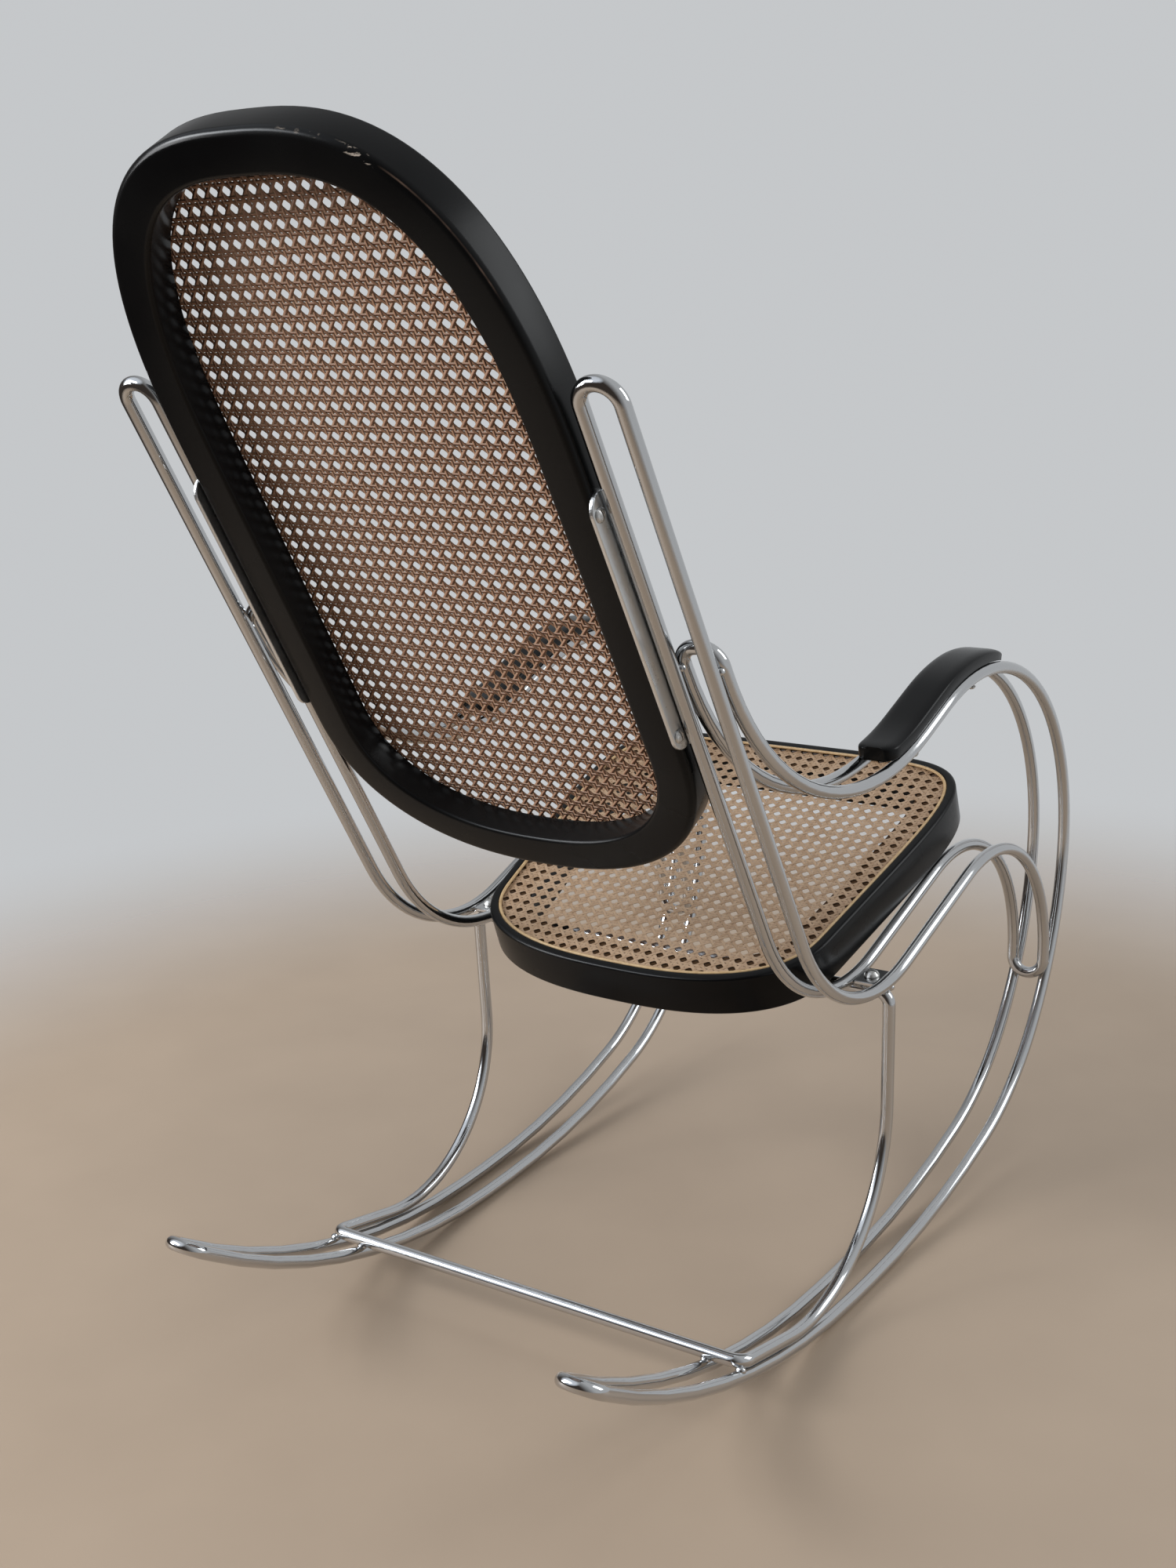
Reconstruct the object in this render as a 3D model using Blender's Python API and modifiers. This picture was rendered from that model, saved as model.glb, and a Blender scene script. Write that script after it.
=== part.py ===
"""Rocking chair of bent chrome tube, with cane panels in black wooden frames.

Metres, +Z up.  The sitter faces -Y and +X is the sitter's left.  The floor is Z = 0.
Each side is two endless tubes with a hairpin bend at both ends, so every run is a pair of tubes.
"""
import math

import bpy
from mathutils import Matrix, Vector

# Tube and clearances
TUBE_DIAMETER = 0.012
RUN_SPACING = 0.0337
CONTACT_GAP = 0.0003

# Place of the side frames: half width to the inner runs on the floor, toe-out and lean-out
INNER_RUN_HALF_WIDTH = 0.193
TOE_OUT = math.radians(1.13)
LEAN_OUT = math.radians(1.15)
BACK_LEAN_OUT = math.radians(0.80)
# Roll of the rocker tubes' section that lays a flat of it level where the chair rests
REST_ROLL = math.radians(0.32)

# Rocker and arm loop, as bends from the point of rest
REST_LENGTH = 0.040
TAIL_RADIUS = 0.680
TAIL_SWEEP = math.radians(35.5)
ROCKER_RADIUS = 0.896
ROCKER_SWEEP = math.radians(16.6)
TOE_RADIUS = 0.237
TOE_SWEEP = math.radians(36.1)
RISER_RADIUS = 0.325
RISER_SWEEP = math.radians(33.7)
ARCH_RADIUS = 0.2285
ARCH_SWEEP = math.radians(114.9)
DIP_RADIUS = 0.276
ARM_END_RUN = 0.004

# Back and seat loop, as two straight runs from their corner at the low bend
LOW_CORNER_Y = 0.0506
LOW_CORNER_Z = 0.2616
BACK_RECLINE = math.radians(27.8)
BACK_RUN = 0.675
SEAT_TILT = math.radians(18.1)
LOW_BEND_RADIUS = 0.165
FRONT_BEND_RADIUS = 0.155
FRONT_DROP_TILT = math.radians(3.0)
FRONT_WELD_HEIGHT = 0.186
WELD_REACH_LIMIT = 0.048
WELD_TOLERANCE = 0.000003

# Rear hoop
HOOP_REAR_Y = 0.219
HOOP_TOE_Y = 0.130
HOOP_TOP_Y = -0.047
HOOP_LEG_RADIUS = 0.150
HOOP_CORNER_RADIUS = 0.012

# Cane panels, their splines and the rebates that hold them
CANE_THICKNESS = 0.0016
SPLINE_DIAMETER = 0.004
SPLINE_PROUD = 0.001
CANE_EDGE_BAND = 0.007

# Back frame
BACK_TOP_CAP = 0.268
BACK_TOP_POWER = 2.63
BACK_SIDE_LENGTH = 0.260
BACK_FOOT_CAP = 0.142
BACK_FOOT_POWER = 2.29
BACK_SETBACK = 0.070
BACK_RIM_WIDTH = 0.030
BACK_RIM_DEPTH = 0.033
BACK_RIM_FORWARD = 0.021
BACK_LIP_WIDTH = 0.009
BACK_EDGE_ROUND = 0.004
BACK_GAP_PITCH = 0.034
BACK_GAP_SIZE = 0.023

# Seat frame
SEAT_SIDE_CLEARANCE = 0.0055
SEAT_TAPER = 0.60
SEAT_REAR_CAP = 0.0985
SEAT_REAR_POWER = 2.57
SEAT_FRONT_CAP = 0.303
SEAT_FRONT_POWER = 6.1
SEAT_REAR_OFFSET = 0.001
SEAT_RIM_WIDTH = 0.040
SEAT_RIM_DEPTH = 0.041
SEAT_LIP_WIDTH = 0.009
SEAT_EDGE_ROUND = 0.003
SEAT_GAP_PITCH = 0.030
SEAT_GAP_SIZE = 0.020

# Armrests
ARMREST_SETBACK = 0.330
ARMREST_LENGTH = 0.242
ARMREST_WIDTH = 0.038
ARMREST_THICKNESS = 0.0135
ARMREST_FOOT_ROUND = 0.0025
ARMREST_SIDE_DROP = 0.0065
ARMREST_SHOULDER_INSET = 0.005
ARMREST_SHOULDER_DROP = 0.0017
ARMREST_CROWN_INSET = 0.0125
ARMREST_FRONT_TAPER = 0.060
ARMREST_REAR_TAPER = 0.012
ARMREST_TIP_SHARE = 0.60
ARMREST_TAPER_RINGS = (0.0, 0.12, 0.4, 1.0)
ARMREST_SCREW_INSET = 0.060

# Back brackets
BRACKET_LENGTH = 0.233
BRACKET_WIDTH = 0.025
BRACKET_THICKNESS = 0.0025
BRACKET_REARWARD = 0.003
BRACKET_SCREW_INSET = 0.015

# Seat lugs, bolts, spacers and screws
LUG_LENGTH = 0.030
LUG_THICKNESS = 0.003
BOLT_HEAD_DIAMETER = 0.014
BOLT_HEAD_HEIGHT = 0.0055
SPACER_DIAMETER = 0.016
SCREW_HEAD_DIAMETER = 0.008
SCREW_HEAD_HEIGHT = 0.0025
HEAD_CROWN_SHARE = 0.60
HEAD_SHOULDER_SHARE = 0.82
HEAD_RIM_SHARE = 0.25

# Facets
TUBE_RESOLUTION = 3
BEND_STEP = math.radians(10.0)
CHORD_LIMIT = 0.060
HAIRPIN_STEPS = 6
HOOP_CORNER_STEP = math.radians(20.0)
CAP_STEPS = 24
BRACKET_END_STEPS = 6
TURNED_STEPS = 12
SPLINE_RESOLUTION = 1
MERGE_DISTANCE = 0.00001
ZERO_DIGITS = 12

FLAT_DOWN = math.pi / (4 + 2 * TUBE_RESOLUTION)
TUBE_RADIUS = TUBE_DIAMETER / 2
TUBE_PITCH = TUBE_DIAMETER + CONTACT_GAP
OUTER_RUN_HALF_WIDTH = INNER_RUN_HALF_WIDTH + RUN_SPACING
MIDDLE_HALF_WIDTH = INNER_RUN_HALF_WIDTH + RUN_SPACING / 2
SIDES = {"right": -1, "left": 1}
ACROSS = Vector((1, 0, 0))
SQUARE = ((-1, -1), (1, -1), (1, 1), (-1, 1))
BACK_UP = Vector((0, math.sin(BACK_RECLINE), math.cos(BACK_RECLINE)))
BACK_FRONT = Vector((0, -math.cos(BACK_RECLINE), math.sin(BACK_RECLINE)))
SEAT_FORWARD = Vector((0, -math.cos(SEAT_TILT), math.sin(SEAT_TILT)))
SEAT_UP = Vector((0, math.sin(SEAT_TILT), math.cos(SEAT_TILT)))


# Scene and materials
def clear_scene():
    for item in list(bpy.data.objects):
        bpy.data.objects.remove(item, do_unlink=True)


def make_material(name, colour, roughness, metallic):
    material = bpy.data.materials.new(name)
    material.use_nodes = True
    shader = material.node_tree.nodes["Principled BSDF"]
    shader.inputs["Base Color"].default_value = (*colour, 1.0)
    shader.inputs["Roughness"].default_value = roughness
    shader.inputs["Metallic"].default_value = metallic
    material.diffuse_color = (*colour, 1.0)
    return material


def new_collection(name):
    collection = bpy.data.collections.new(name)
    bpy.context.scene.collection.children.link(collection)
    return collection


clear_scene()
CHAIR = new_collection("rocking_chair")
GUIDES = new_collection("guides")
ROOT = bpy.data.objects.new("chair_root", None)
CHAIR.objects.link(ROOT)
CHROME = make_material("chrome", (0.80, 0.80, 0.82), 0.08, 1.0)
BLACK_WOOD = make_material("black_wood", (0.012, 0.011, 0.012), 0.30, 0.0)
CANE = make_material("cane", (0.55, 0.36, 0.17), 0.55, 0.0)
REED = make_material("reed", (0.62, 0.44, 0.24), 0.50, 0.0)
STEEL = make_material("screw_steel", (0.62, 0.61, 0.60), 0.28, 1.0)
RUBBER = make_material("spacer_black", (0.02, 0.02, 0.02), 0.60, 0.0)


def add_part(name, data, material, matrix=None):
    part = bpy.data.objects.new(name, data)
    data.materials.append(material)
    CHAIR.objects.link(part)
    part.parent = ROOT
    if matrix is not None:
        part.matrix_basis = matrix
    return part


def add_guide(name, data):
    guide = bpy.data.objects.new(name, data)
    guide.hide_render = True
    guide.display_type = "WIRE"
    GUIDES.objects.link(guide)
    return guide


def frame_at(origin, up, side=ACROSS):
    """A placement whose local Z is up and whose local X is as near as can be to side."""
    z_axis = Vector(up).normalized()
    x_axis = (Vector(side) - z_axis * z_axis.dot(side)).normalized()
    turn = Matrix((x_axis, z_axis.cross(x_axis), z_axis)).transposed()
    return Matrix.Translation(origin) @ turn.to_4x4()


# Side profiles: points in the Y-Z plane, held as Vectors (y, z)
def ahead(heading):
    """The direction of a heading, which is measured upwards from straight forward."""
    return Vector((-math.cos(heading), math.sin(heading)))


def bend(start, heading, radius, sweep):
    """Points after start along an arc; a positive sweep turns upwards from straight forward."""
    steps = max(math.ceil(abs(sweep) / BEND_STEP), math.ceil(radius * abs(sweep) / CHORD_LIMIT))
    turn = math.copysign(1, sweep)
    centre = start + Vector((math.sin(heading), math.cos(heading))) * radius * turn
    points = []
    for step in range(1, steps + 1):
        angle = heading + sweep * step / steps
        points.append(centre - Vector((math.sin(angle), math.cos(angle))) * radius * turn)
    return points


def filleted(corners, radii):
    """A path through corners with each inner corner rounded, as far as its two runs allow."""
    points = [corners[0]]
    for corner, after, radius in zip(corners[1:], corners[2:], radii):
        into = (corner - points[-1]).normalized()
        out = (after - corner).normalized()
        turn = math.acos(max(-1.0, min(1.0, into.dot(out))))
        room = min((corner - points[-1]).length, (after - corner).length)
        setback = min(radius * math.tan(turn / 2), room)
        heading = math.atan2(into.y, -into.x)
        side = math.copysign(1, -into.x * out.y + into.y * out.x)
        start = corner - into * setback
        points.append(start)
        points.extend(bend(start, heading, setback / math.tan(turn / 2), turn * side))
    points.append(corners[-1])
    return points


def crossing(first, first_way, second, second_way):
    """Where two lines in the Y-Z plane meet."""
    between = second - first
    scale = first_way.x * second_way.y - first_way.y * second_way.x
    return first + first_way * ((between.x * second_way.y - between.y * second_way.x) / scale)


def inward(way):
    """The normal on the upper or inner side of a path that runs forward, up and back."""
    return Vector((way.y, -way.x))


def point_where(points, axis, value):
    """The first point of a path whose coordinate is value, and the path's direction there."""
    for start, end in zip(points, points[1:]):
        if (start[axis] - value) * (end[axis] - value) <= 0:
            share = (value - start[axis]) / (end[axis] - start[axis])
            return start.lerp(end, share), (end - start).normalized()
    raise ValueError("the path never reaches that coordinate")


def stretch(points, places):
    """Points of a path at the places, which are lengths along it, and its corners between them."""
    found = {}
    run = 0.0
    for start, end in zip(points, points[1:]):
        length = (end - start).length
        for place in places:
            if run <= place <= run + length:
                found[place] = start.lerp(end, (place - run) / length)
        run += length
        if places[0] < run < places[-1]:
            found[run] = end
    return [(place, found[place]) for place in sorted(found)]


def offset_path(points, distances):
    """A path at the given distances to the outer side of points, with its chords parallel to theirs."""
    moved = []
    last = len(points) - 1
    for index, (point, distance) in enumerate(zip(points, distances)):
        before = (points[max(index, 1)] - points[max(index, 1) - 1]).normalized()
        after = (points[min(index, last - 1) + 1] - points[min(index, last - 1)]).normalized()
        normal = (inward(before) + inward(after)).normalized()
        moved.append(point - normal * distance / normal.dot(inward(before)))
    return moved


def in_space(side, half_width, point):
    """A profile point in the leaning, toed-out plane of a side."""
    y, z = point
    return Vector((side * (half_width - math.tan(TOE_OUT) * y + math.tan(LEAN_OUT) * z), y, z))


def in_back_plane(side, half_width, point):
    """The same for the back and seat loop, which leans out less than the rockers and arms."""
    drawn_in = (math.tan(LEAN_OUT) - math.tan(BACK_LEAN_OUT)) * (point.y - LOW_CORNER_Z)
    return in_space(side, half_width - drawn_in, point)


LOW_CORNER = Vector((LOW_CORNER_Y, LOW_CORNER_Z))
BACK_TOP = LOW_CORNER + BACK_UP.yz * BACK_RUN
HAIRPIN_RADIUS = RUN_SPACING / 2


def draw_arch_start():
    """The rocker from the tip of its tail to the foot of the arch, and the heading there."""
    rest_front = Vector((-REST_LENGTH / 2, TUBE_RADIUS))
    rest_rear = Vector((REST_LENGTH / 2, TUBE_RADIUS))
    tail = bend(rest_rear, math.pi, TAIL_RADIUS, -TAIL_SWEEP)
    points = tail[::-1] + [rest_rear, rest_front]
    heading = 0.0
    for radius, sweep in (
        (ROCKER_RADIUS, ROCKER_SWEEP),
        (TOE_RADIUS, TOE_SWEEP),
        (RISER_RADIUS, RISER_SWEEP),
    ):
        points += bend(points[-1], heading, radius, sweep)
        heading += sweep
    return points, heading


def draw_arm(foot, heading):
    """The arch, the dip and the end of the arm, which lies along the front of the back run."""
    arch = bend(foot, heading, ARCH_RADIUS, ARCH_SWEEP)
    beside_back = LOW_CORNER + BACK_FRONT.yz * TUBE_PITCH
    downwards = ahead(heading + ARCH_SWEEP)
    corner = crossing(arch[-1], downwards, beside_back, BACK_UP.yz)
    turn = math.acos(downwards.dot(BACK_UP.yz))
    end = corner + BACK_UP.yz * (DIP_RADIUS * math.tan(turn / 2) + ARM_END_RUN)
    return arch[:-1] + filleted([arch[-1], corner, end], [DIP_RADIUS])


def hairpin(end, way, first, last, side, plane):
    """The points of a hairpin bend between the runs at half widths first and last."""
    points = []
    for step in range(1, HAIRPIN_STEPS):
        angle = math.pi * step / HAIRPIN_STEPS
        half_width = (first + last) / 2 + (first - last) / 2 * math.cos(angle)
        points.append(plane(side, half_width, end + way * HAIRPIN_RADIUS * math.sin(angle)))
    return points


def loop_points(profile, side, plane):
    """The endless centre line of a side's twin runs along a profile in the given plane."""
    end_way = (profile[-1] - profile[-2]).normalized()
    start_way = (profile[0] - profile[1]).normalized()
    outer = [plane(side, OUTER_RUN_HALF_WIDTH, point) for point in profile]
    inner = [plane(side, INNER_RUN_HALF_WIDTH, point) for point in profile]
    far = hairpin(profile[-1], end_way, OUTER_RUN_HALF_WIDTH, INNER_RUN_HALF_WIDTH, side, plane)
    near = hairpin(profile[0], start_way, INNER_RUN_HALF_WIDTH, OUTER_RUN_HALF_WIDTH, side, plane)
    return outer + far + inner[::-1] + near


def gap_to_path(point, path):
    """The least distance from a point to a path in space."""
    least = math.inf
    for start, end in zip(path, path[1:]):
        run = end - start
        share = max(0.0, min(1.0, (point - start).dot(run) / run.length_squared))
        least = min(least, (point - start - run * share).length)
    return least


def draw_back_and_seat(rocker):
    """The back run, low bend, seat run, front bend and drop, whose hairpin just meets the riser."""
    seat_way = SEAT_FORWARD.yz
    drop_way = Vector((math.sin(FRONT_DROP_TILT), -math.cos(FRONT_DROP_TILT)))
    front_half = [point for point in rocker if point.x < 0]
    weld, riser_way = point_where(front_half, 1, FRONT_WELD_HEIGHT)
    riser = [in_space(1, OUTER_RUN_HALF_WIDTH, point) for point in front_half]
    near, far = 0.0, WELD_REACH_LIMIT
    while far - near > WELD_TOLERANCE:
        reach = (near + far) / 2
        end = weld + inward(riser_way) * reach
        trial = [in_back_plane(1, OUTER_RUN_HALF_WIDTH, end)]
        trial += hairpin(end, drop_way, OUTER_RUN_HALF_WIDTH, INNER_RUN_HALF_WIDTH, 1, in_back_plane)
        if min(gap_to_path(point, riser) for point in trial) < TUBE_PITCH:
            near = reach
        else:
            far = reach
    end = weld + inward(riser_way) * far
    front_corner = crossing(LOW_CORNER, seat_way, end, drop_way)
    top = BACK_TOP - BACK_UP.yz * HAIRPIN_RADIUS
    return filleted([top, LOW_CORNER, front_corner, end], [LOW_BEND_RADIUS, FRONT_BEND_RADIUS])


ROCKER_PROFILE, RISER_HEADING = draw_arch_start()
ARM_PROFILE = draw_arm(ROCKER_PROFILE[-1], RISER_HEADING)
BACK_SEAT_PROFILE = draw_back_and_seat(ROCKER_PROFILE)


# Tubes
def add_tube(name, points, diameter, material, resolution, tilt=0.0):
    curve = bpy.data.curves.new(name, "CURVE")
    curve.dimensions = "3D"
    curve.twist_mode = "MINIMUM"
    curve.bevel_depth = diameter / 2
    curve.bevel_resolution = resolution
    spline = curve.splines.new("POLY")
    spline.points.add(len(points) - 1)
    for target, point in zip(spline.points, points):
        target.co = (*point, 1.0)
        target.tilt = tilt
    spline.use_cyclic_u = True
    spline.use_smooth = True
    return add_part(name, curve, material)


def on_rocker(y):
    """The centre of a tube that lies across the rocker at y, in the plane of the side."""
    rest, way = point_where(ROCKER_PROFILE, 0, y)
    return rest + inward(way) * TUBE_PITCH


def hoop_points():
    """The endless rear hoop: a bar across the rockers, legs that lie on them and rise, a bar under the seat."""
    rear = on_rocker(HOOP_REAR_Y)
    foot_way = (on_rocker(HOOP_TOE_Y) - rear).normalized()
    low_bend = BACK_SEAT_PROFILE[1:]
    under, seat_way = point_where(low_bend, 0, HOOP_TOP_Y)
    top = under - inward(seat_way) * TUBE_PITCH
    centre = rear + inward(foot_way) * HOOP_LEG_RADIUS
    foot_run = (centre.x - HOOP_LEG_RADIUS - top.x) / -foot_way.x
    leg_start = rear + foot_way * foot_run
    slope = math.atan2(foot_way.y, -foot_way.x)
    leg = [leg_start] + bend(leg_start, slope, HOOP_LEG_RADIUS, math.pi / 2 - slope)
    half = [in_space(1, OUTER_RUN_HALF_WIDTH, point) for point in [rear] + leg + [top]]
    ring = [Vector((0, *rear))] + half + [Vector((0, *top))]
    rounded = round_corner(ring, 1, HOOP_CORNER_RADIUS)
    rounded = round_corner(rounded, len(rounded) - 2, HOOP_CORNER_RADIUS)
    left = rounded[1:-1]
    right = [Vector((-point.x, point.y, point.z)) for point in reversed(left)]
    return left + right


def round_corner(points, index, radius):
    """Points with the corner at index replaced by an arc of the given radius."""
    corner = points[index]
    into = (corner - points[index - 1]).normalized()
    out = (points[index + 1] - corner).normalized()
    turn = into.angle(out)
    setback = radius * math.tan(turn / 2)
    start = corner - into * setback
    side = (out - into * into.dot(out)).normalized()
    steps = math.ceil(turn / HOOP_CORNER_STEP)
    arc = []
    for step in range(steps + 1):
        angle = turn * step / steps
        arc.append(start + into * radius * math.sin(angle) + side * radius * (1 - math.cos(angle)))
    ahead_points = [point for point in points[index + 1:] if (point - corner).length > setback]
    behind_points = [point for point in points[:index] if (point - corner).length > setback]
    return behind_points + arc + ahead_points


def add_tubes():
    rocker_arm = ROCKER_PROFILE + ARM_PROFILE
    tube = (TUBE_DIAMETER, CHROME, TUBE_RESOLUTION)
    for name, side in SIDES.items():
        rocker_loop = loop_points(rocker_arm, side, in_space)
        back_loop = loop_points(BACK_SEAT_PROFILE, side, in_back_plane)
        level = FLAT_DOWN + side * REST_ROLL
        add_tube(f"rocker_arm_loop_{name}", rocker_loop, *tube, level)
        add_tube(f"back_seat_loop_{name}", back_loop, *tube)
    add_tube("rear_hoop", hoop_points(), *tube)


# Wooden rings with their cane and splines
def cap_points(half_width, height, power, first, last):
    """Points of half a superellipse; the angles run from first to last in even steps."""
    points = []
    for step in range(CAP_STEPS + 1):
        angle = first + (last - first) * step / CAP_STEPS
        across = signed_power(math.cos(angle), 2 / power)
        along = signed_power(math.sin(angle), 2 / power)
        points.append(Vector((half_width * across, height * along)))
    return points


def signed_power(value, power):
    """A power of a sine or cosine that keeps its sign, and is nought where that is all but nought."""
    return math.copysign(abs(round(value, ZERO_DIGITS)) ** power, value)


def inset(outline, distance):
    """A closed outline moved inwards, its points kept on their own normals."""
    moved = []
    count = len(outline)
    for index, point in enumerate(outline):
        along = outline[(index + 1) % count] - outline[index - 1]
        moved.append(point + Vector((-along.y, along.x)).normalized() * distance)
    return moved


def poly_curve(name, outlines):
    curve = bpy.data.curves.new(name, "CURVE")
    curve.dimensions = "2D"
    for outline in outlines:
        spline = curve.splines.new("POLY")
        spline.points.add(len(outline) - 1)
        for target, point in zip(spline.points, outline):
            target.co = (point.x, point.y, 0.0, 1.0)
        spline.use_cyclic_u = True
    return curve


def add_ring(name, outline, section, matrix):
    """A wooden ring: a section of (distance inwards, height) points swept along a closed outline."""
    guide = add_guide(f"{name}_section", poly_curve(f"{name}_section", [section]))
    curve = poly_curve(name, [outline])
    curve.fill_mode = "NONE"
    curve.bevel_mode = "OBJECT"
    curve.bevel_object = guide
    return add_part(name, curve, BLACK_WOOD, matrix)


def add_plate(name, outlines, thickness, material, matrix):
    curve = poly_curve(name, outlines)
    curve.fill_mode = "BOTH"
    curve.extrude = thickness / 2
    return add_part(name, curve, material, matrix)


def inside(outline, point):
    within = False
    for start, end in zip(outline, outline[1:] + outline[:1]):
        if (start.y > point.y) != (end.y > point.y):
            if point.x < start.x + (end.x - start.x) * (point.y - start.y) / (end.y - start.y):
                within = not within
    return within


def net_gaps(field, pitch, size):
    """Square gaps on an even grid, each wholly inside the field."""
    columns = math.ceil(max(point.x for point in field) / pitch)
    low = min(point.y for point in field)
    rows = math.ceil((max(point.y for point in field) - low) / pitch)
    first_row = low + (max(point.y for point in field) - low - (rows - 1) * pitch) / 2
    gaps = []
    for row in range(rows):
        for column in range(-columns, columns + 1):
            middle = Vector((column * pitch, first_row + row * pitch))
            corners = [middle + Vector(corner) * size / 2 for corner in SQUARE]
            if all(inside(field, corner) for corner in corners):
                gaps.append(corners)
    return gaps


REBATE_DEPTH = CONTACT_GAP + CANE_THICKNESS + CONTACT_GAP + SPLINE_DIAMETER - SPLINE_PROUD


def ring_section(width, top, depth, lip, edge):
    """A ring's section with its outer edges rounded off and a rebate in its top."""
    bottom = top - depth
    floor = top - REBATE_DEPTH
    corners = [
        (edge, top), (lip, top), (lip, floor), (width, floor),
        (width, bottom + edge), (width - edge, bottom),
        (edge, bottom), (0, bottom + edge), (0, top - edge),
    ]
    return [Vector(corner) for corner in corners]


def add_caned_ring(name, outline, section, top, lip, net, matrix):
    """A wooden ring with a cane net of (pitch, gap size) in its rebate, and a spline on the net's edge."""
    add_ring(f"{name}_frame", outline, section, matrix)
    panel = inset(outline, lip + CONTACT_GAP)
    panel_height = top - REBATE_DEPTH + CONTACT_GAP + CANE_THICKNESS / 2
    gaps = net_gaps(inset(panel, CANE_EDGE_BAND), *net)
    lift = Matrix.Translation((0, 0, panel_height))
    add_plate(f"{name}_cane", [panel] + gaps, CANE_THICKNESS, CANE, matrix @ lift)
    spline_height = top - SPLINE_DIAMETER / 2 + SPLINE_PROUD
    line = inset(outline, lip + CONTACT_GAP + SPLINE_DIAMETER / 2)
    centre = [matrix @ Vector((point.x, point.y, spline_height)) for point in line]
    add_tube(f"{name}_spline", centre, SPLINE_DIAMETER, REED, SPLINE_RESOLUTION)


def least_inner_face():
    """The least distance from the middle to the inner back tubes, beside the frame's straight sides."""
    top = BACK_TOP - BACK_UP.yz * BACK_SETBACK
    ends = (top, top - BACK_UP.yz * BACK_SIDE_LENGTH)
    return min(in_back_plane(1, INNER_RUN_HALF_WIDTH, end).x for end in ends) - TUBE_RADIUS


BRACKET_FACE = least_inner_face() - CONTACT_GAP
BACK_HALF_WIDTH = BRACKET_FACE - BRACKET_THICKNESS - CONTACT_GAP
BACK_ORIGIN = Vector((0, *(BACK_TOP - BACK_UP.yz * BACK_SETBACK)))
SEAT_ORIGIN = Vector((0, *(LOW_CORNER + SEAT_FORWARD.yz * (SEAT_REAR_OFFSET + SEAT_REAR_CAP))))
SEAT_ROOM = in_back_plane(1, INNER_RUN_HALF_WIDTH, LOW_CORNER).x - TUBE_RADIUS
SEAT_HALF_WIDTH = SEAT_ROOM - SEAT_SIDE_CLEARANCE
SEAT_BOTTOM = TUBE_RADIUS + CONTACT_GAP
SEAT_TOP = SEAT_BOTTOM + SEAT_RIM_DEPTH
BACK_MATRIX = frame_at(BACK_ORIGIN, BACK_FRONT)
SEAT_MATRIX = frame_at(SEAT_ORIGIN, SEAT_UP)


def add_back():
    top = cap_points(BACK_HALF_WIDTH, BACK_TOP_CAP, BACK_TOP_POWER, 0, math.pi)
    foot = cap_points(BACK_HALF_WIDTH, BACK_FOOT_CAP, BACK_FOOT_POWER, math.pi, 2 * math.pi)
    outline = top + [point - Vector((0, BACK_SIDE_LENGTH)) for point in foot]
    rim = (BACK_RIM_WIDTH, BACK_RIM_FORWARD, BACK_RIM_DEPTH)
    section = ring_section(*rim, BACK_LIP_WIDTH, BACK_EDGE_ROUND)
    net = (BACK_GAP_PITCH, BACK_GAP_SIZE)
    add_caned_ring("back", outline, section, BACK_RIM_FORWARD, BACK_LIP_WIDTH, net, BACK_MATRIX)


def add_seat():
    rear = cap_points(SEAT_HALF_WIDTH, SEAT_REAR_CAP, SEAT_REAR_POWER, 0, math.pi)
    front = cap_points(SEAT_HALF_WIDTH, SEAT_FRONT_CAP, SEAT_FRONT_POWER, math.pi, 2 * math.pi)
    outline = [Vector((point.x * (1 - SEAT_TAPER * point.y), point.y)) for point in rear + front[1:-1]]
    rim = (SEAT_RIM_WIDTH, SEAT_TOP, SEAT_RIM_DEPTH)
    section = ring_section(*rim, SEAT_LIP_WIDTH, SEAT_EDGE_ROUND)
    net = (SEAT_GAP_PITCH, SEAT_GAP_SIZE)
    add_caned_ring("seat", outline, section, SEAT_TOP, SEAT_LIP_WIDTH, net, SEAT_MATRIX)


# Armrests
def pad_section():
    """Half-rounded section of an armrest, about its own centre."""
    half_width = ARMREST_WIDTH / 2
    half_height = ARMREST_THICKNESS / 2
    right = [
        (half_width - ARMREST_FOOT_ROUND, -half_height),
        (half_width, -half_height + ARMREST_FOOT_ROUND),
        (half_width, half_height - ARMREST_SIDE_DROP),
        (half_width - ARMREST_SHOULDER_INSET, half_height - ARMREST_SHOULDER_DROP),
        (half_width - ARMREST_CROWN_INSET, half_height),
    ]
    left = [(-x, z) for x, z in reversed(right)]
    return [Vector(point) for point in reversed(right + left)]


def pad_share(distance, taper):
    """How much of the full section an armrest has at a distance from its end."""
    share = min(1.0, distance / taper)
    return ARMREST_TIP_SHARE + (1 - ARMREST_TIP_SHARE) * math.sqrt(1 - (1 - share) ** 2)


def armrest_path():
    """Places along the arm, with the section's share and the centre of the pad at each."""
    start = ARMREST_SETBACK
    end = start + ARMREST_LENGTH
    places = [start + ARMREST_FRONT_TAPER * ring for ring in ARMREST_TAPER_RINGS]
    places += [end - ARMREST_REAR_TAPER * ring for ring in reversed(ARMREST_TAPER_RINGS)]
    found = stretch(ROCKER_PROFILE[-1:] + ARM_PROFILE, places)
    shares = []
    for place, _ in found:
        front = pad_share(place - start, ARMREST_FRONT_TAPER)
        rear = pad_share(end - place, ARMREST_REAR_TAPER)
        shares.append(min(front, rear))
    seat = TUBE_RADIUS + CONTACT_GAP
    distances = [seat + share * ARMREST_THICKNESS / 2 for share in shares]
    return shares, offset_path([point for _, point in found], distances)


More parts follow.
